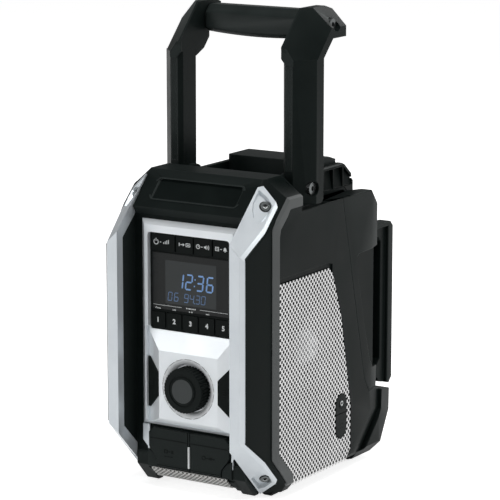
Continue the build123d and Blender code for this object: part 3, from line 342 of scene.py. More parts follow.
def mathNode(tree, operation, a, b):
    node = tree.nodes.new("ShaderNodeMath")
    node.operation = operation
    node.use_clamp = True
    for value, socket in zip((a, b), node.inputs):
        feed(tree, value, socket)
    return node.outputs[0]


def finishOf(name, dark, light, rough, grain, spread=0.10, metal=0.0, specular=0.3,
             edge=0.0, edgeColour=None, coat=0.0):
    material = bpy.data.materials.new("finish_" + name)
    material["slot"] = name
    material.use_nodes = True
    tree = material.node_tree
    shader = tree.nodes["Principled BSDF"]
    shader.inputs["Metallic"].default_value = metal
    shader.inputs["Specular IOR Level"].default_value = specular
    if coat:
        shader.inputs["Coat Weight"].default_value = coat
        shader.inputs["Coat Roughness"].default_value = pattern["coatRough"]
    coords = tree.nodes.new("ShaderNodeTexCoord").outputs["Object"]
    clouds = noiseNode(tree, coords, pattern["clouds"], pattern["cloudDetail"], pattern["cloudRough"])
    speck = noiseNode(tree, coords, grain["scale"], pattern["speckDetail"], pattern["speckRough"])
    colour = mixNode(tree, rangeNode(tree, clouds, pattern["cloudSpan"], 0, 1), dark, light)
    colour = mixNode(tree, rangeNode(tree, speck, pattern["speckSpan"], 0, spread), colour, light)
    if edge:
        shape = tree.nodes.new("ShaderNodeNewGeometry")
        worn = rangeNode(tree, shape.outputs["Pointiness"], pattern["wornSpan"], 0, edge)
        colour = mixNode(tree, worn, colour, edgeColour)
    link(tree, colour, shader.inputs["Base Color"])
    link(tree, rangeNode(tree, clouds, pattern["cloudSpan"], *rough), shader.inputs["Roughness"])
    bump = tree.nodes.new("ShaderNodeBump")
    bump.inputs["Strength"].default_value = grain["strength"]
    bump.inputs["Distance"].default_value = grain["height"] * mm
    link(tree, speck, bump.inputs["Height"])
    link(tree, bump.outputs["Normal"], shader.inputs["Normal"])
    return material


moulded = {"scale": 1400, "strength": 0.35, "height": 0.12}
fine = {"scale": 2600, "strength": 0.25, "height": 0.08}
smooth = {"scale": 2200, "strength": 0.1, "height": 0.04}
soft = {"scale": 900, "strength": 0.5, "height": 0.2}
edgeWear = {"edge": 0.6, "edgeColour": srgb(70, 76, 75)}

# each with its darker and lighter colour and its range of roughness
housingBlack = finishOf("housing_black", srgb(13, 19, 18), srgb(19, 25, 24), (0.40, 0.50), moulded,
                        specular=0.05, **edgeWear)
handleBlack = finishOf("handle_black", srgb(16, 22, 21), srgb(22, 28, 27), (0.36, 0.46), moulded,
                       specular=0.05, **edgeWear)
softBlack = finishOf("soft_black", srgb(17, 22, 21), srgb(24, 29, 28), (0.48, 0.60), soft, specular=0.08)
bumperGrey = finishOf("bumper_grey", srgb(75, 78, 78), srgb(85, 88, 88), (0.50, 0.64), soft)
silver = finishOf("silver", srgb(198, 204, 209), srgb(212, 218, 222), (0.28, 0.36), smooth,
                  metal=0.4, spread=0.5)
panelSilver = finishOf("panel_silver", srgb(230, 235, 239), srgb(238, 243, 246), (0.3, 0.38), smooth,
                       metal=0.3, spread=0.4)
coverBlack = finishOf("cover_black", srgb(25, 31, 30), srgb(32, 38, 37), (0.46, 0.58), soft, specular=0.1)
gripBlack = finishOf("grip_black", srgb(30, 36, 35), srgb(38, 44, 43), (0.34, 0.44), moulded, specular=0.14)
# near-white silver of the dish round the dial: painted light, lighter than the panel so the dish reads as
# brightly lit
dishPaintedLight = finishOf("dish_painted_light", srgb(243, 247, 249), srgb(248, 251, 253), (0.42, 0.5), smooth)
keyBlack = finishOf("key_black", srgb(11, 16, 15), srgb(16, 21, 20), (0.4, 0.5), fine, specular=0.07)
meshSteel = finishOf("mesh_steel", srgb(206, 206, 206), srgb(226, 226, 226), (0.3, 0.42), fine, metal=0.5)
meshBlack = finishOf("mesh_black", srgb(52, 54, 54), srgb(66, 68, 68), (0.35, 0.45), fine, metal=0.5)
meshBright = finishOf("mesh_bright", srgb(168, 168, 166), srgb(190, 190, 188), (0.35, 0.45), fine, metal=0.5)
lensSmoke = finishOf("lens", srgb(14, 18, 18), srgb(16, 20, 20), (0.12, 0.18), fine, specular=0.14, coat=0.1)
displayGrey = finishOf("display", srgb(30, 36, 37), srgb(33, 39, 40), (0.2, 0.28), fine)
figureBlue = finishOf("display_figures", srgb(126, 168, 224), srgb(142, 182, 236), (0.3, 0.4), fine)
figureDim = finishOf("display_dim", srgb(92, 122, 164), srgb(104, 136, 180), (0.3, 0.4), fine)
inkWhite = finishOf("printed_white", srgb(224, 228, 228), srgb(236, 240, 240), (0.45, 0.55), fine)
steel = finishOf("steel", srgb(170, 172, 172), srgb(205, 207, 207), (0.25, 0.4), fine, metal=0.9)
darkSteel = finishOf("dark_steel", srgb(84, 88, 88), srgb(106, 110, 110), (0.2, 0.3), fine, metal=0.8)
speakerFrame = finishOf("speaker_frame", srgb(44, 44, 44), srgb(58, 58, 58), (0.4, 0.5), fine, metal=0.3)
conePaper = finishOf("cone_paper", srgb(52, 54, 55), srgb(64, 66, 67), (0.5, 0.62), soft)
capGrey = finishOf("dial_cap", srgb(44, 49, 49), srgb(50, 55, 55), (0.35, 0.45), fine)
domeWhite = finishOf("dome", srgb(226, 228, 230), srgb(238, 240, 242), (0.4, 0.5), fine)
boardGreen = finishOf("board_green", srgb(18, 74, 40), srgb(30, 96, 54), (0.25, 0.35), fine)
terminalBlack = finishOf("terminal", srgb(44, 44, 44), srgb(56, 56, 56), (0.4, 0.5), moulded)
print("finishes ready")

# every carried-over node takes its slot's finish
slotFinish = {m["slot"]: m for m in (
    housingBlack, handleBlack, softBlack, bumperGrey, silver, keyBlack, meshSteel, meshBlack, lensSmoke,
    displayGrey, steel, darkSteel, speakerFrame, conePaper, boardGreen, terminalBlack)}
for obj in nodes.values():
    for slot in obj.material_slots:
        old = slot.material.name.split(".")[0]
        if old in slotFinish:
            slot.material = slotFinish[old]
print("nodes dressed")

# pieces that keep their node's shape, each with the width of its eased edges
easing = {
    "main_housing": (housingBlack, 0.7),
    "rear_housing": (housingBlack, 0.7),
    "top_deck": (housingBlack, 0.6),
    "top_pad": (coverBlack, 0.9),
    "side_bumper_left": (bumperGrey, 0.5),
    "side_bumper_right": (bumperGrey, 0.5),
    "control_bezel": (keyBlack, 0.3),
    "display_window": (lensSmoke, 0.2),
    "tune_button_left": (softBlack, 0.6),
    "tune_button_right": (softBlack, 0.6),
    "rear_guard_left": (handleBlack, 1.0),
    "rear_guard_right": (handleBlack, 1.0),
    "handle_leg_left": (handleBlack, 0.9),
    "handle_leg_right": (handleBlack, 0.9),
    "battery_door": (housingBlack, 0.9),
    "door_latch": (softBlack, 0.5),
    "inlet_tab": (softBlack, 0.5),
    "inlet_cover": (softBlack, 0.5),
    "feet": (softBlack, 0.4),
}
for key in ("power", "source", "clock", "menu"):
    easing[key + "_button"] = (keyBlack, 0.35)
for number in range(1, 6):
    easing["preset_button_" + str(number)] = (keyBlack, 0.35)
for node, (material, width) in easing.items():
    shape = rounded(node, material, width, overlap=node.startswith("handle_leg"))
    for point in shape.data.vertices:    # nothing reaches below the floor
        point.co.z = max(point.co.z, 0.0)

# front panel and corner bars, whose facets are too shallow for the same easing
facetAngle = 7
barEdge = {"width": 0.8, "segments": 2, "angle": 9, "low": 44.0, "high": 236.0}    # clear of the screws


def softenBar(piece):
    # rounds the bar's long edges and bends, and leaves its screw pockets alone
    def spot(middle):
        return tuple(round(v / mm, 2) for v in middle)

    edit(piece)
    bpy.ops.mesh.select_mode(type="EDGE")
    bpy.ops.mesh.edges_select_sharp(sharpness=math.radians(barEdge["angle"]))
    leave()
    points = piece.data.vertices
    sharp = set()
    for line in piece.data.edges:
        middle = (points[line.vertices[0]].co + points[line.vertices[1]].co) / 2
        if line.select and barEdge["low"] < middle.z / mm < barEdge["high"]:
            sharp.add(spot(middle))
    choose(piece, lambda middle, along: spot(middle) in sharp, "EDGE")
    bpy.ops.mesh.bevel(offset=barEdge["width"] * mm, segments=barEdge["segments"], affect="EDGES",
                       clamp_overlap=True)
    leave()


for node in ("front_panel", "corner_bar_left", "corner_bar_right"):
    piece = mergedCopy(node, node + "_shape")
    if node.startswith("corner_bar"):
        softenBar(piece)
    bpy.ops.object.shade_smooth_by_angle(angle=math.radians(facetAngle))
    dress(piece, nodes[node]["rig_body"], panelSilver if node == "front_panel" else silver, (node,))
print("edges eased")


# punched sheets
punch = {"corners": 12, "flare": 1.2}    # corners of a hole, and how far its outer ring first stands off


def punchedSheet(name, wide, high, spec):
    # one hole in its diamond, then rows of it; lies flat, facing up
    a, b, hole = spec["across"] * mm, spec["up"] * mm, spec["hole"] * mm
    count, quarter = punch["corners"], punch["corners"] // 4
    sheet = added(name, bpy.ops.mesh.primitive_circle_add, vertices=count, radius=hole, location=(0, 0, 0))
    edit(sheet, "SELECT")
    bpy.ops.mesh.extrude_edges_move()
    bpy.ops.transform.resize(value=(punch["flare"], punch["flare"], 1.0))
    leave()
    diamond = [Vector((a / 2, 0, 0)), Vector((0, b / 2, 0)), Vector((-a / 2, 0, 0)), Vector((0, -b / 2, 0))]
    for point in sheet.data.vertices:
        if point.co.length > hole * (1 + punch["flare"]) / 2:
            step = round(math.degrees(math.atan2(point.co.y, point.co.x)) / (360 / count)) % count
            start, end = diamond[step // quarter], diamond[(step // quarter + 1) % 4]
            point.co = start.lerp(end, (step % quarter) / quarter)
    edit(sheet, "SELECT")
    bpy.ops.mesh.duplicate_move(TRANSFORM_OT_translate={"value": (a / 2, b / 2, 0)})
    leave()
    for offset, span, gap in (((a, 0, 0), wide, a), ((0, b, 0), high, b)):
        copies = math.ceil(span * mm / gap) + 1
        rows = sheet.modifiers.new("rows", "ARRAY")
        rows.use_relative_offset = False
        rows.use_constant_offset = True
        rows.constant_offset_displace = offset
        rows.count = copies
        bpy.ops.object.modifier_apply(modifier=rows.name)
        edit(sheet, "SELECT")
        bpy.ops.transform.translate(value=[-step * (copies - 1) / 2 for step in offset])
        leave()
    fixNormals(sheet, mergeReach)
    faceAlong(sheet, 2, 1)
    return sheet


def planesOf(outline):
    # a point and the outward direction of each side of an outline in (y, z)
    middle = Vector((sum(p[0] for p in outline), sum(p[1] for p in outline))) / len(outline)
    found = []
    for a, b in zip(outline, outline[1:] + outline[:1]):
        across = Vector((b[1] - a[1], a[0] - b[0])).normalized()
        if across.dot(Vector(a) - middle) < 0:
            across = -across
        found.append((Vector((0, a[0], a[1])) * mm, Vector((0, across.x, across.y))))
    return found


def keepInside(obj, outline):
    for point, out in planesOf(outline):
        split(obj, point, out, clear_outer=True)


def cutOut(obj, outline):
    # opens a hole with straight sides in a sheet
    done = []
    edit(obj, "SELECT")
    for point, out in planesOf(outline):
        bpy.ops.mesh.bisect(plane_co=point, plane_no=out)
        leave()
        done.append((point, out))
        choose(obj, lambda middle, way: all((middle - p).dot(n) < 0 for p, n in done))
    bpy.ops.mesh.delete(type="FACE")
    leave()


# side grilles; the right one leaves room for the power inlet
grille = {"across": 5.5, "up": 5.8, "hole": 1.66, "thick": 0.6, "face": 81.0,
          "y": -25.0, "z": 103.5, "wide": 136.0, "high": 194.0,
          "outline": [(-87.2, 196.9), (-2.0, 196.9), (3.6, 192.5), (7.5, 184.0), (21.4, 146.0), (34.3, 82.6),
                      (38.6, 62.0), (38.8, 20.0), (30.0, 10.4), (-63.4, 10.4), (-87.2, 43.9)]}
inletGap = {"middle": 21.5, "low": 43.4, "high": 65.6, "radius": 10.4, "step": 20}
for side, name in reversed(sides):
    sheet = punchedSheet("sideMesh_" + name, grille["wide"], grille["high"], grille)
    stand(sheet, (0, side, 0), (0, 0, 1), (side * grille["face"], grille["y"], grille["z"]))
    keepInside(sheet, grille["outline"])
    if side > 0:
        cutOut(sheet, slotShape(**inletGap))
    thicken(sheet, grille["thick"])
    dress(sheet, "case", meshSteel, stands=("side_grille_" + name,))
print("side mesh punched")

# base grille: a flat sheet whose nose is folded up in two steps
base = {"across": 4.4, "up": 4.4, "hole": 1.25, "thick": 1.4, "half": 53.9, "level": 8.4, "rear": 24.0,
        "fold": -99.6, "slope": 13.3, "nose": 2.4, "bend": 45, "spare": 6.0,
        "lift": 1.4, "liftFrom": -78.0, "liftHigh": 12.0, "frontHalf": 40.0}
length = base["rear"] - base["fold"] + base["slope"] + base["nose"]
sheet = punchedSheet("baseMesh", 2 * base["half"] + base["spare"], length + base["spare"], base)
stand(sheet, (1, 0, 0), (0, -1, 0), (0, base["rear"] - length / 2, base["level"]))
for point, out in (((base["half"], 0, 0), (1, 0, 0)), ((-base["half"], 0, 0), (-1, 0, 0)),
                   ((0, base["rear"], 0), (0, 1, 0)), ((0, base["rear"] - length, 0), (0, -1, 0))):
    split(sheet, Vector(point) * mm, out, clear_outer=True)
for past in (0, base["slope"]):
    split(sheet, (0, (base["fold"] - past) * mm, 0), (0, -1, 0))
c, s = math.cos(math.radians(base["bend"])), math.sin(math.radians(base["bend"]))
for past in (base["slope"], 0):
    lineY = (base["fold"] - past) * mm
    for point in sheet.data.vertices:
        if point.co.y < lineY - cleanReach:
            y, z = point.co.y - lineY, point.co.z - base["level"] * mm
            point.co.y = lineY + y * c + z * s
            point.co.z = base["level"] * mm - y * s + z * c
reach = base["liftFrom"] - base["fold"]
for point in sheet.data.vertices:    # the front of the tray rises towards the fold
    share = max(0.0, min(1.0, (base["liftFrom"] - point.co.y / mm) / reach))
    flat = max(0.0, 1 - (point.co.z / mm - base["level"]) / base["liftHigh"])
    point.co.z += share * flat * base["lift"] * mm
for side in (1, -1):    # the front of the tray is narrower than its rear
    split(sheet, (side * base["frontHalf"] * mm, 0, 0), (1, 0, 0))
split(sheet, (0, base["liftFrom"] * mm, 0), (0, 1, 0))
choose(sheet, lambda middle, way: abs(middle.x) > base["frontHalf"] * mm and middle.y < base["liftFrom"] * mm)
bpy.ops.mesh.delete(type="FACE")
leave()
thicken(sheet, base["thick"])
fixNormals(sheet)
dress(sheet, "case", meshBright, ("bottom_grille",))
print("base mesh punched")

# dial: steps are the inset and rise of each ring on its face, from the rim inward
dial = {"z": 97.3, "back": -105.4, "shoulder": -117.5, "radius": 20.6, "teeth": 42, "perTooth": 4,
        "bite": 0.8, "rim": 0.2, "ease": 0.18, "easeAngle": 32,
        "steps": ((0.9, 0.9), (0.9, 0.4), (4.4, 0.05), (0.25, -0.9), (1.5, 0.0), (0.25, 1.1), (0.7, 0.35))}
around = dial["teeth"] * dial["perTooth"]
knob = placed(added("dialKnob", bpy.ops.mesh.primitive_cylinder_add, vertices=around,
                    radius=dial["radius"] * mm, depth=(dial["back"] - dial["shoulder"]) * mm,
                    location=(0, (dial["back"] + dial["shoulder"]) / 2 * mm, dial["z"] * mm),
                    rotation=(math.radians(90), 0, 0)))
choose(knob, lambda middle, way: way.y < -0.9)    # the front face
for inset, rise in dial["steps"]:
    bpy.ops.mesh.inset(thickness=inset * mm, depth=rise * mm)
leave()
for point in knob.data.vertices:
    arm = Vector((point.co.x, point.co.z - dial["z"] * mm))
    if arm.length > (dial["radius"] - dial["rim"]) * mm:
        step = round(math.atan2(arm.y, arm.x) / (2 * math.pi) * around)
        if step % dial["perTooth"] in (0, 1):
            arm *= 1 - dial["bite"] / dial["radius"]
            point.co.x, point.co.z = arm.x, arm.y + dial["z"] * mm
roundEdges(knob, dial["ease"], 1, dial["easeAngle"])
dress(knob, "knob", softBlack, stands=("volume_knob",))

# dished ring round the dial, with a fine line at its rim; its near-white finish is painted light, a lighter
# copy of the panel silver that paints a bright crescent over the knob's shade
dish = {"rim": 27.2, "foot": 21.6, "front": -109.95, "floor": -105.1, "rings": 7, "corners": 128,
        "lineOut": 0.2, "lineWidth": 0.35, "lineSunk": 0.02, "lineDepth": 0.06}
bowl = placed(added("dialDish", bpy.ops.mesh.primitive_circle_add, vertices=dish["corners"],
                    radius=dish["rim"] * mm, rotation=(math.radians(90), 0, 0),
                    location=(0, dish["front"] * mm, dial["z"] * mm)))
edit(bowl, "SELECT")
radius, level = dish["rim"], dish["front"]
for ring in range(1, dish["rings"] + 1):
    turn = ring / dish["rings"] * math.pi / 2
    nextRadius = dish["foot"] + (dish["rim"] - dish["foot"]) * (1 - math.sin(turn))
    nextLevel = dish["front"] + (dish["floor"] - dish["front"]) * (1 - math.cos(turn))
    bpy.ops.mesh.extrude_edges_move(TRANSFORM_OT_translate={"value": (0, (nextLevel - level) * mm, 0)})
    scale = nextRadius / radius
    bpy.ops.transform.resize(value=(scale, 1, scale), center_override=(0, nextLevel * mm, dial["z"] * mm))
    radius, level = nextRadius, nextLevel
leave()
fixNormals(bowl)
faceAlong(bowl, 1, -1)
bpy.ops.object.shade_smooth_by_angle(angle=smoothAngle)
dress(bowl, "case", dishPaintedLight)
onFront("dishLine", ringShapes(0, dial["z"], dish["rim"] + dish["lineOut"], dish["lineWidth"]),
        dish["front"] + dish["lineSunk"], dish["lineDepth"], "case", bumperGrey)

# round cap in the middle of the dial
cap = {"radius": 10.9, "face": -119.35, "depth": 0.35, "corners": 48, "ease": 0.15}
outline = discShape(0, dial["z"], cap["radius"], cap["corners"])
piece = frontPlate("dialCap", outline, cap["depth"], cap["face"])
roundEdges(piece, cap["ease"], 1)
dress(piece, "knob", capGrey)
print("dial turned")

# dust caps behind the side mesh
dome = {"x": 66.6, "y": -24.0, "z": 128.0, "rise": 12.6, "radius": 17.0, "cut": 0.5,
        "segments": 32, "rings": 16}
for side, name in reversed(sides):
    capDome = added("dustCap_" + name, bpy.ops.mesh.primitive_uv_sphere_add, segments=dome["segments"],
                    ring_count=dome["rings"], radius=mm,
                    location=(side * dome["x"] * mm, dome["y"] * mm, dome["z"] * mm))
    capDome.scale = (dome["rise"], dome["radius"], dome["radius"])
    placed(capDome)
    split(capDome, (side * (dome["x"] + dome["cut"]) * mm, 0, 0), (side, 0, 0), clear_inner=True)
    bpy.ops.object.shade_smooth()
    dress(capDome, "case", domeWhite)
print("dust caps set")

# numbers on the preset keys
keys = {"face": -105.6, "ink": 0.12, "pitch": 17.25, "level": 155.7, "tall": 4.5, "weight": 0.22,
        "topLevel": 226.6, "presets": 5}
figureHeight = 0.729    # of the built-in font, as a share of its size
for number in range(1, keys["presets"] + 1):
    mark = added("presetNumber_" + str(number), bpy.ops.object.text_add, location=(0, 0, 0))
    mark.data.body = str(number)
    mark.data.size = keys["tall"] * mm / figureHeight
    mark.data.align_x = "CENTER"
    mark.data.align_y = "CENTER"
    mark.data.offset = keys["weight"] * mm
    mark.data.extrude = keys["ink"] / 2 * mm
    mark.data.resolution_u = 3
    bpy.ops.object.convert(target="MESH")
    across = (number - (keys["presets"] + 1) / 2) * keys["pitch"]
    stand(mark, facing["right"], facing["up"], (across, keys["face"] - keys["ink"] / 2, keys["level"]))
    dress(mark, "preset_button_" + str(number) + "_body", inkWhite)

# small pictures on the four function keys, drawn around the row's height
row = keys["topLevel"]
pictures = {
    "power": [arcShape(-36.0, row, 2.3, 0.7, 125, 415, 14), boxShape(-36.0, row + 1.9, 0.7, 2.6),
              boxShape(-31.2, row, 1.3, 0.8)],
    "source": [boxShape(-11.4, row, 0.8, 3.0), lineShape(-10.2, row, -7.4, row, 0.7),
               [(-7.6, row - 1.4), (-5.6, row), (-7.6, row + 1.4)],
               boxShape(-2.2, row + 1.35, 4.6, 0.6), boxShape(-2.2, row - 1.35, 4.6, 0.6),
               boxShape(-4.3, row, 0.6, 2.6), boxShape(-0.1, row, 0.6, 2.6), boxShape(-2.2, row, 2.2, 0.7)],
    "clock": [*ringShapes(8.4, row, 1.8, 0.6), boxShape(8.4, row + 0.6, 0.5, 1.2),
              boxShape(8.8, row, 1.0, 0.5), boxShape(12.3, row, 2.0, 0.6),
              [(14.6, row - 0.8), (15.8, row - 0.8), (17.2, row - 1.9), (17.2, row + 1.9), (15.8, row + 0.8),
               (14.6, row + 0.8)],
              arcShape(17.2, row, 1.4, 0.5, -50, 50, 6), arcShape(17.2, row, 2.6, 0.5, -50, 50, 8)],
    "menu": [boxShape(28.2, row + 1.5, 4.0, 0.6), boxShape(28.2, row - 1.5, 4.0, 0.6),
             boxShape(26.5, row, 0.6, 2.6), boxShape(29.9, row, 0.6, 2.6), boxShape(28.2, row, 2.0, 0.6),
             boxShape(32.4, row, 1.8, 0.6),
             [(34.4, row - 1.2), (38.6, row - 1.2), (37.9, row - 0.2), (37.7, row + 1.1), (36.9, row + 1.9),
              (36.1, row + 1.9), (35.3, row + 1.1), (35.1, row - 0.2)],
             boxShape(36.5, row - 1.8, 1.4, 0.6)],
}
# signal bars, each given by its place across, its rise and its height
signalBars = ((-27.9, -0.7, 1.4), (-26.2, -0.2, 2.4), (-24.5, 0.3, 3.4), (-22.8, 0.8, 3.6))
pictures["power"] += [boxShape(x, row + rise, 0.8, high) for x, rise, high in signalBars]
for key, shapes in pictures.items():
    onFront(key + "Picture", shapes, keys["face"], keys["ink"], key + "_button_body", inkWhite)

# display plate and its figures
screen = {"face": -104.8, "z": 191.35, "wide": 53.6, "high": 39.1, "plate": 0.12, "ink": 0.08,
          "lean": math.tan(math.radians(7)), "strokeGap": 0.12}
strokes = {"0": "abcdef", "1": "bc", "2": "abged", "3": "abgcd", "4": "fgbc", "5": "afgcd", "6": "afgedc",
           "7": "abc", "8": "abcdefg", "9": "abcfgd"}
timeRow = {"z": 186.6, "wide": 6.2, "high": 13.2, "thick": 1.5,
           "figures": (("1", -15.2), ("2", -5.6), ("3", 6.0), ("6", 16.4)),
           "dotX": 3.5, "dotRises": (3.6, 9.6), "dotSize": (1.2, 1.3)}
bandRow = {"z": 174.7, "wide": 3.9, "high": 7.4, "thick": 0.65,
           "figures": (("0", -24.2), ("6", -17.6), ("9", -7.0), ("4", -1.2), ("3", 5.0), ("0", 10.8)),
           "pointX": 3.8, "point": 0.9}


def figureShapes(figure, x, z, wide, high, thick):
    # a figure's leaning strokes, each a bar with pointed ends
    gap = thick * screen["strokeGap"]
    half, mid = thick / 2, high / 2
    ends = {"a": ((0, high), (wide, high)), "b": ((wide, high), (wide, mid)), "c": ((wide, mid), (wide, 0)),
            "d": ((0, 0), (wide, 0)), "e": ((0, mid), (0, 0)), "f": ((0, high), (0, mid)),
            "g": ((0, mid), (wide, mid))}
    shapes = []
    for stroke in strokes[figure]:
        a, b = Vector(ends[stroke][0]), Vector(ends[stroke][1])
        along = (b - a).normalized()
        side = Vector((-along.y, along.x)) * half
        a, b = a + along * gap, b - along * gap
        points = [a, a + along * half - side, b - along * half - side, b, b - along * half + side,
                  a + along * half + side]
        shapes.append([(x + p.x + p.y * screen["lean"], z + p.y) for p in points])
    return shapes


def rowShapes(line):
    shapes = []
    for figure, start in line["figures"]:
        shapes += figureShapes(figure, start, line["z"], line["wide"], line["high"], line["thick"])
    return shapes


onFront("displayPlate", [boxShape(0, screen["z"], screen["wide"], screen["high"])], screen["face"],
        screen["plate"], "case", displayGrey)
dots = [boxShape(timeRow["dotX"] + rise * screen["lean"], timeRow["z"] + rise, *timeRow["dotSize"])
        for rise in timeRow["dotRises"]]
onFront("timeFigures", rowShapes(timeRow) + dots, screen["face"] - screen["plate"], screen["ink"],
        "case", figureBlue)
point = boxShape(bandRow["pointX"], bandRow["z"], bandRow["point"], bandRow["point"])
onFront("bandFigures", [point] + rowShapes(bandRow), screen["face"] - screen["plate"], screen["ink"],
        "case", figureDim)

# printed rule with its ticks, and the row of small marks under it
rule = {"z": 169.4, "thick": 0.32, "spans": ((-24.7, 30.0), (24.0, 29.4)),
        "tickFrom": -4.4, "tickStep": 1.5, "ticks": 7, "tickSize": (0.9, 1.1), "tickDrop": 0.1,
        "marks": 166.3, "half": 0.8, "arrow": 1.3, "bar": (0.4, 1.6), "pauseBar": (0.5, 1.6),
        "ring": (-36.6, 0.8, 0.5), "dots": (-34.8, -33.6, -32.4), "dotSize": (0.8, 0.9),
        "back": (-18.6, -17.2), "backBar": -19.0, "next": (15.9, 17.3), "nextBar": 19.0,
        "play": (-0.5, -1.9), "pause": (0.5, 1.5)}
low, half = rule["marks"], rule["half"]
shapes = [boxShape(x, rule["z"], wide, rule["thick"]) for x, wide in rule["spans"]]
shapes += [boxShape(rule["tickFrom"] + rule["tickStep"] * i, rule["z"] - rule["tickDrop"], *rule["tickSize"])
           for i in range(rule["ticks"])]
ringX, ringRadius, ringWidth = rule["ring"]
shapes += ringShapes(ringX, low, ringRadius, ringWidth)
shapes += [boxShape(x, low, *rule["dotSize"]) for x in rule["dots"]]
shapes += [arrowShape(x, x + rule["arrow"], low, half) for x in rule["back"]]
shapes += [boxShape(rule["backBar"], low, *rule["bar"])]
shapes += [arrowShape(*rule["play"], low, half)]
shapes += [boxShape(x, low, *rule["pauseBar"]) for x in rule["pause"]]
shapes += [arrowShape(x + rule["arrow"], x, low, half) for x in rule["next"]]
shapes += [boxShape(rule["nextBar"], low, *rule["bar"])]
onFront("printedLines", shapes, screen["face"], screen["ink"], "case", inkWhite)

# rim round the display window
rim = {"half": 41.0, "low": 165.6, "high": 217.0, "thick": 0.5, "rise": 0.18}
rimLine = [(-rim["half"], rim["low"]), (rim["half"], rim["low"]), (rim["half"], rim["high"]),
           (-rim["half"], rim["high"]), (-rim["half"], rim["low"])]
onFront("lensRim", pathShapes(rimLine, rim["thick"]), screen["face"], rim["rise"], "case", keyBlack)
print("keys and display marked")

# creases and relief marks on the port covers
cover = {"face": -109.6, "creaseX": 22.0, "creaseZ": 47.4, "creaseSize": (40.2, 0.7), "creaseRise": 0.3,
         "creaseSunk": 0.02, "markRise": 0.22}
usbMarks = [boxShape(-24.4, 38.0, 3.4, 0.8), boxShape(-24.4, 35.2, 3.4, 0.8), boxShape(-22.9, 36.6, 0.8, 2.6),
            boxShape(-25.7, 36.6, 0.8, 2.6), boxShape(-20.6, 36.6, 2.0, 0.9), boxShape(-17.6, 36.6, 2.2, 3.0),
            boxShape(-24.8, 32.0, 2.2, 0.8), boxShape(-21.6, 32.0, 2.2, 0.8), boxShape(-18.4, 32.0, 2.2, 0.8)]
jackMarks = [*ringShapes(16.0, 36.6, 1.7, 0.7), boxShape(19.4, 36.6, 2.4, 0.8),
             boxShape(23.0, 36.6, 3.4, 2.2), boxShape(26.4, 36.6, 2.4, 1.2)]
for side, name in sides:
    crease = boxShape(side * cover["creaseX"], cover["creaseZ"], *cover["creaseSize"])
    onFront("coverCrease_" + name, [crease], cover["face"] + cover["creaseSunk"], cover["creaseRise"],
            "cover_" + name, keyBlack)
for name, marks in (("left", usbMarks), ("right", jackMarks)):
    onFront("coverMark_" + name, marks, cover["face"], cover["markRise"], "cover_" + name, keyBlack)

# white rib between the covers
rib = {"z": 34.0, "wide": 1.9, "high": 20.0, "depth": 4.0, "back": -105.9, "ease": 0.3}
piece = frontPlate("whiteRib", boxShape(0, rib["z"], rib["wide"], rib["high"]), rib["depth"], rib["back"])
roundEdges(piece, rib["ease"])
dress(piece, "case", inkWhite)

# relief lines on the tuning keys, each given by its height and length
tuneMark = {"x": 38.2, "face": -111.1, "rise": 0.2, "thick": 0.7,
            "lines": ((100.6, 3.4), (98.6, 2.4), (96.0, 4.2))}
for side, name in sides:
    marks = [boxShape(side * tuneMark["x"], z, wide, tuneMark["thick"]) for z, wide in tuneMark["lines"]]
    onFront("tuneMark_" + name, marks, tuneMark["face"], tuneMark["rise"],
            "tune_button_" + name + "_body", keyBlack)

# port covers with their lower outer corners cut away
lidCut = {"outline": [(33.4, 15.0), (33.4, 20.0), (34.4, 28.0), (39.4, 34.6), (43.6, 37.0), (48.0, 37.0),
                      (48.0, 15.0)],
          "back": -90.0, "depth": 30.0, "ease": 0.6}
# blocks, webs and fillings beside them; block and web are given in (y, z), the rest in (x, z)
corner = {"inner": 44.6, "outer": 57.6, "web": 40.2, "webOverlap": 0.5, "ease": 0.6,
          "blockSide": [(-105.3, 33.2), (-106.8, 31.5), (-106.8, 20.5), (-92.6, 5.2), (-90.4, 3.0),
                        (-83.4, 3.0), (-83.4, 9.0), (-92.6, 14.0), (-104.7, 26.0)],
          "webSide": [(-105.2, 20.2), (-106.0, 19.6), (-92.4, 6.0), (-90.4, 6.0), (-90.4, 10.4),
                      (-98.4, 11.0)],
          "fill": [(34.0, 20.4), (34.9, 27.6), (39.7, 33.9), (44.6, 36.4), (44.6, 20.4)],
          "fillBack": -105.3, "fillDepth": 3.2, "fillEase": 0.4}
tab = {"outline": [(45.4, 29.0), (45.4, 38.0), (50.6, 43.6), (50.6, 58.8), (43.4, 58.8), (43.4, 29.0)],
       "back": -105.1, "depth": 2.2, "ease": 0.4}
for side, name in sides:
    lid = mergedCopy("port_cover_" + name, "portCover_" + name)
    cutter = frontPlate("cutter", mirrored(lidCut["outline"], side), lidCut["depth"], lidCut["back"])
    pick(lid)
    notch = lid.modifiers.new("notch", "BOOLEAN")
    notch.operation = "DIFFERENCE"
    notch.object = cutter
    bpy.ops.object.modifier_apply(modifier=notch.name)
    bpy.data.objects.remove(cutter)
    roundEdges(lid, lidCut["ease"], overlap=False)
    dress(lid, nodes["port_cover_" + name]["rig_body"], coverBlack, ("port_cover_" + name,))
    fill = frontPlate("cornerFill_" + name, mirrored(corner["fill"], side), corner["fillDepth"],
                      corner["fillBack"])
    roundEdges(fill, corner["fillEase"])
    dress(fill, "case", housingBlack)
    for part, inner, outer, outline in (
            ("Block", corner["inner"], corner["outer"], corner["blockSide"]),
            ("Web", corner["web"], corner["inner"] + corner["webOverlap"], corner["webSide"])):
        start = inner if side > 0 else -outer
        block = plate("corner" + part + "_" + name, outline, outer - inner, (0, 1, 0), (0, 0, 1),
                      (start, 0, 0))
        roundEdges(block, corner["ease"])
        dress(block, "case", housingBlack)
    piece = frontPlate("panelTab_" + name, mirrored(tab["outline"], side), tab["depth"], tab["back"])
    roundEdges(piece, tab["ease"])
    dress(piece, "case", silver)
print("corner blocks set")

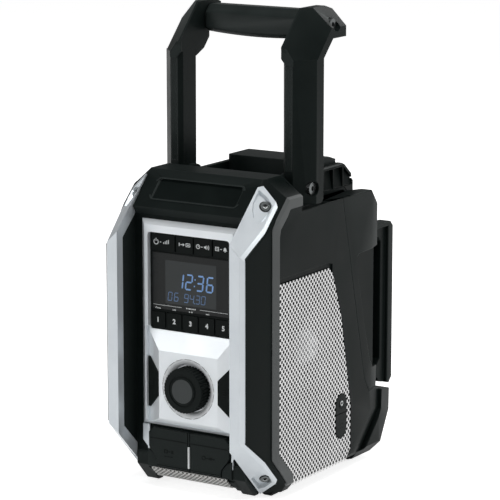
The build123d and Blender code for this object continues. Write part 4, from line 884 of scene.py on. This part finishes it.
# bright ring of the inlet screw and the relief on the inlet cover
inlet = {"y": 21.5, "ringFace": 81.7, "ringZ": 66.6, "ringRadius": 1.9, "ringWidth": 0.9, "rise": 0.2,
         "markFace": 81.35, "markRows": (43.0, 46.6), "markSteps": (-3.4, 0, 3.4), "markSize": (2.2, 0.8)}
ring = plates("inletRing", ringShapes(inlet["y"], inlet["ringZ"], inlet["ringRadius"], inlet["ringWidth"]),
              inlet["rise"], (0, 1, 0), (0, 0, 1), (inlet["ringFace"], 0, 0))
dress(ring, "case", inkWhite)
marks = [boxShape(inlet["y"] + across, z, *inlet["markSize"])
         for z in inlet["markRows"] for across in inlet["markSteps"]]
relief = plates("inletMarks", marks, inlet["rise"], (0, 1, 0), (0, 0, 1), (inlet["markFace"], 0, 0))
dress(relief, nodes["inlet_cover"]["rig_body"], keyBlack)
print("inlet marked")

# painted shade ring round the four bar screws, and a painted highlight on the edge of each socket
# heads gives the middle and the outward direction of the two on the right
barScrew = {"heads": (("upper", (67.88, -89.88, 265.88), (0.59, -0.55, 0.59)),
                      ("lower", (67.59, -89.25, 19.75), (0.469, -0.625, -0.625))),
            "seat": 4.95, "seatWidth": 0.9, "seatDepth": 0.3, "seatSunk": 1.9,
            "glint": 1.75, "glintWidth": 0.7, "glintDepth": 0.1, "glintSunk": 0.05, "glintArc": (190, 350)}
for level, spot, way in barScrew["heads"]:
    for side, name in sides:
        out = Vector((side * way[0], way[1], way[2])).normalized()
        up = (Vector((0, 0, 1)) - out * out.z).normalized()
        right = up.cross(out)
        centre = Vector((side * spot[0], spot[1], spot[2]))
        # a dark ring sunk just in front of the pocket floor: painted shade in the gap round each screw head
        seat = plates("screwPaintedShade_" + level + "_" + name,
                      ringShapes(0, 0, barScrew["seat"], barScrew["seatWidth"]), barScrew["seatDepth"],
                      right, up, centre - out * barScrew["seatSunk"])
        dress(seat, "case", keyBlack)
        # a white arc on the head: painted highlight on the edge of the socket
        edge = arcShape(0, 0, barScrew["glint"], barScrew["glintWidth"], *barScrew["glintArc"])
        glint = plates("screwPaintedGlint_" + level + "_" + name, [edge], barScrew["glintDepth"],
                       right, up, centre - out * barScrew["glintSunk"])
        dress(glint, "case", inkWhite)
print("bar screws marked")

# raised beads round the badge field
brow = {"centre": (0, -94.0, 272.0), "up": (0, 0.7071, 0.7071), "bead": 1.3, "rise": 0.65, "ease": 0.4,
        "lines": (((-46.4, 7.6), (-43.6, 11.4), (43.6, 11.4), (46.4, 7.6)),
                  ((-46.4, -7.6), (-43.6, -11.6), (43.6, -11.6), (46.4, -7.6)))}
for index, line in enumerate(brow["lines"]):
    bead = plates("badgeBead_" + str(index + 1), pathShapes(line, brow["bead"]), brow["rise"], (1, 0, 0),
                  brow["up"], brow["centre"])
    roundEdges(bead, brow["ease"])
    dress(bead, "case", housingBlack)
print("relief added")

# grip sleeve, rounded and fuller in the middle
sleeve = {"ease": 3.2, "easeSteps": 4, "easeAngle": 20, "cuts": 24, "reach": 50.0,
          "floor": 402.4, "top": 426.8, "swell": 2.8, "fullest": 5.0, "sag": 1.5}
grip = mergedCopy("grip_sleeve", "gripSleeve")
roundEdges(grip, sleeve["ease"], sleeve["easeSteps"], sleeve["easeAngle"], False)
for cut in range(1, sleeve["cuts"]):
    split(grip, ((cut / sleeve["cuts"] * 2 - 1) * sleeve["reach"] * mm, 0, 0), (1, 0, 0))
for point in grip.data.vertices:
    away = (point.co.x / mm - sleeve["fullest"]) / (sleeve["reach"] + sleeve["fullest"])
    depth = max(0.0, (sleeve["top"] - point.co.z / mm) / (sleeve["top"] - sleeve["floor"]))
    point.co.z -= sleeve["swell"] * max(0.0, 1 - away * away) * depth ** sleeve["sag"] * mm
bpy.ops.object.shade_smooth_by_angle(angle=smoothAngle)
dress(grip, "handle", gripBlack, ("grip_sleeve",))
print("grip shaped")

# patterned strips down the front of the handle legs, and a nub above each
strips = {"inner": 56.9, "outer": 64.1, "low": 288.0, "high": 383.0, "face": -38.45, "pitch": 1.7,
          "stretch": 1.3, "rise": 0.35}
nub = {"outline": [(57.4, 381.6), (64.6, 381.6), (64.9, 386.6), (57.6, 396.6), (52.6, 397.0), (52.5, 387.8)],
       "back": -37.85, "depth": 1.5, "ease": 0.5}
wide, high = strips["outer"] - strips["inner"], strips["high"] - strips["low"]
columns, lines = round(wide / strips["pitch"] * 2), round(high / strips["pitch"] * 2 / strips["stretch"])
for side, name in sides:
    strip = added("legStrip_" + name, bpy.ops.mesh.primitive_grid_add, x_subdivisions=columns,
                  y_subdivisions=lines, size=1, location=(0, 0, 0))
    for point in strip.data.vertices:
        column, line = round((point.co.x + 0.5) * columns), round((point.co.y + 0.5) * lines)
        point.co.x *= wide * mm
        point.co.y *= high * mm
        inside = 0 < column < columns and 0 < line < lines
        point.co.z = strips["rise"] * mm if inside and (column + line) % 2 else 0
    across, rise = side * (strips["inner"] + strips["outer"]) / 2, (strips["low"] + strips["high"]) / 2
    stand(strip, facing["right"], facing["up"], (across, strips["face"], rise))
    dress(strip, "handle", gripBlack)
    piece = frontPlate("legNub_" + name, mirrored(nub["outline"], side), nub["depth"], nub["back"])
    roundEdges(piece, nub["ease"])
    dress(piece, "handle", handleBlack)
print("handle strips laid")

# floor, light and camera
studio = {"floorSize": 30.0, "floorDrop": 0.0002, "floorGrey": 0.8, "floorRough": 0.9, "floorGlow": 0.8,
          "worldLight": 0.22, "aim": (0, 0, 0.2)}
white = (1, 1, 1, 1)


def raySeen(tree, *kinds):
    # 1 for the kinds of ray that are named, else 0
    rays = tree.nodes.new("ShaderNodeLightPath")
    seen = rays.outputs[kinds[0]]
    for kind in kinds[1:]:
        seen = mathNode(tree, "ADD", seen, rays.outputs[kind])
    return seen


floor = added("studioFloor", bpy.ops.mesh.primitive_plane_add, size=studio["floorSize"],
              location=(0, 0, -studio["floorDrop"]))
paper = bpy.data.materials.new("studioPaper")
paper.use_nodes = True
tree = paper.node_tree
shader = tree.nodes["Principled BSDF"]
grey = studio["floorGrey"]
shader.inputs["Base Color"].default_value = (grey, grey, grey, 1)
shader.inputs["Roughness"].default_value = studio["floorRough"]
shader.inputs["Specular IOR Level"].default_value = 0.0
glow = tree.nodes.new("ShaderNodeEmission")
seen = raySeen(tree, "Is Camera Ray", "Is Glossy Ray", "Is Transmission Ray")
link(tree, mathNode(tree, "MULTIPLY", seen, studio["floorGlow"]), glow.inputs["Strength"])
both = tree.nodes.new("ShaderNodeAddShader")
link(tree, shader.outputs[0], both.inputs[0])
link(tree, glow.outputs[0], both.inputs[1])
link(tree, both.outputs[0], tree.nodes["Material Output"].inputs["Surface"])
floor.data.materials.append(paper)

world = bpy.data.worlds.new("studioWorld")
bpy.context.scene.world = world
world.use_nodes = True
tree = world.node_tree
lightWorld = tree.nodes["Background"]
lightWorld.inputs["Color"].default_value = white
lightWorld.inputs["Strength"].default_value = studio["worldLight"]
whiteWorld = tree.nodes.new("ShaderNodeBackground")
whiteWorld.inputs["Color"].default_value = white
pickWorld = tree.nodes.new("ShaderNodeMixShader")
link(tree, raySeen(tree, "Is Camera Ray", "Is Transmission Ray"), pickWorld.inputs[0])
link(tree, lightWorld.outputs[0], pickWorld.inputs[1])
link(tree, whiteWorld.outputs[0], pickWorld.inputs[2])
link(tree, pickWorld.outputs[0], tree.nodes["World Output"].inputs["Surface"])

lamps = {
    "keyLamp": {"place": (2.0, 0.5, 1.0), "power": 10, "size": 0.9},
    "facetLamp": {"place": (-1.25, -1.95, 0.85), "power": 10.5, "size": 0.9},
    "topLamp": {"place": (0.3, -0.4, 2.1), "power": 20, "size": 0.9},
    "backLamp": {"place": (0.2, 1.8, 1.2), "power": 14, "size": 1.2},
}
for name, lamp in lamps.items():
    light = bpy.data.lights.new(name, "AREA")
    light.energy = lamp["power"]
    light.size = lamp["size"]
    holder = bpy.data.objects.new(name, light)
    bpy.context.scene.collection.objects.link(holder)
    holder.location = lamp["place"]
    aim = Vector(studio["aim"]) - Vector(lamp["place"])
    holder.rotation_euler = aim.to_track_quat("-Z", "Y").to_euler()

view = {"place": (1.22720, -1.96957, 0.67323), "tilt": 78.583, "turn": 32.008, "lens": 186.465, "sensor": 36}
cameraData = bpy.data.cameras.new("studioCamera")
cameraData.sensor_width = view["sensor"]
cameraData.lens = view["lens"]
camera = bpy.data.objects.new("studioCamera", cameraData)
bpy.context.scene.collection.objects.link(camera)
camera.location = view["place"]
camera.rotation_euler = (math.radians(view["tilt"]), 0, math.radians(view["turn"]))
bpy.context.scene.camera = camera
bpy.context.scene.view_settings.view_transform = "Standard"
print("studio ready")
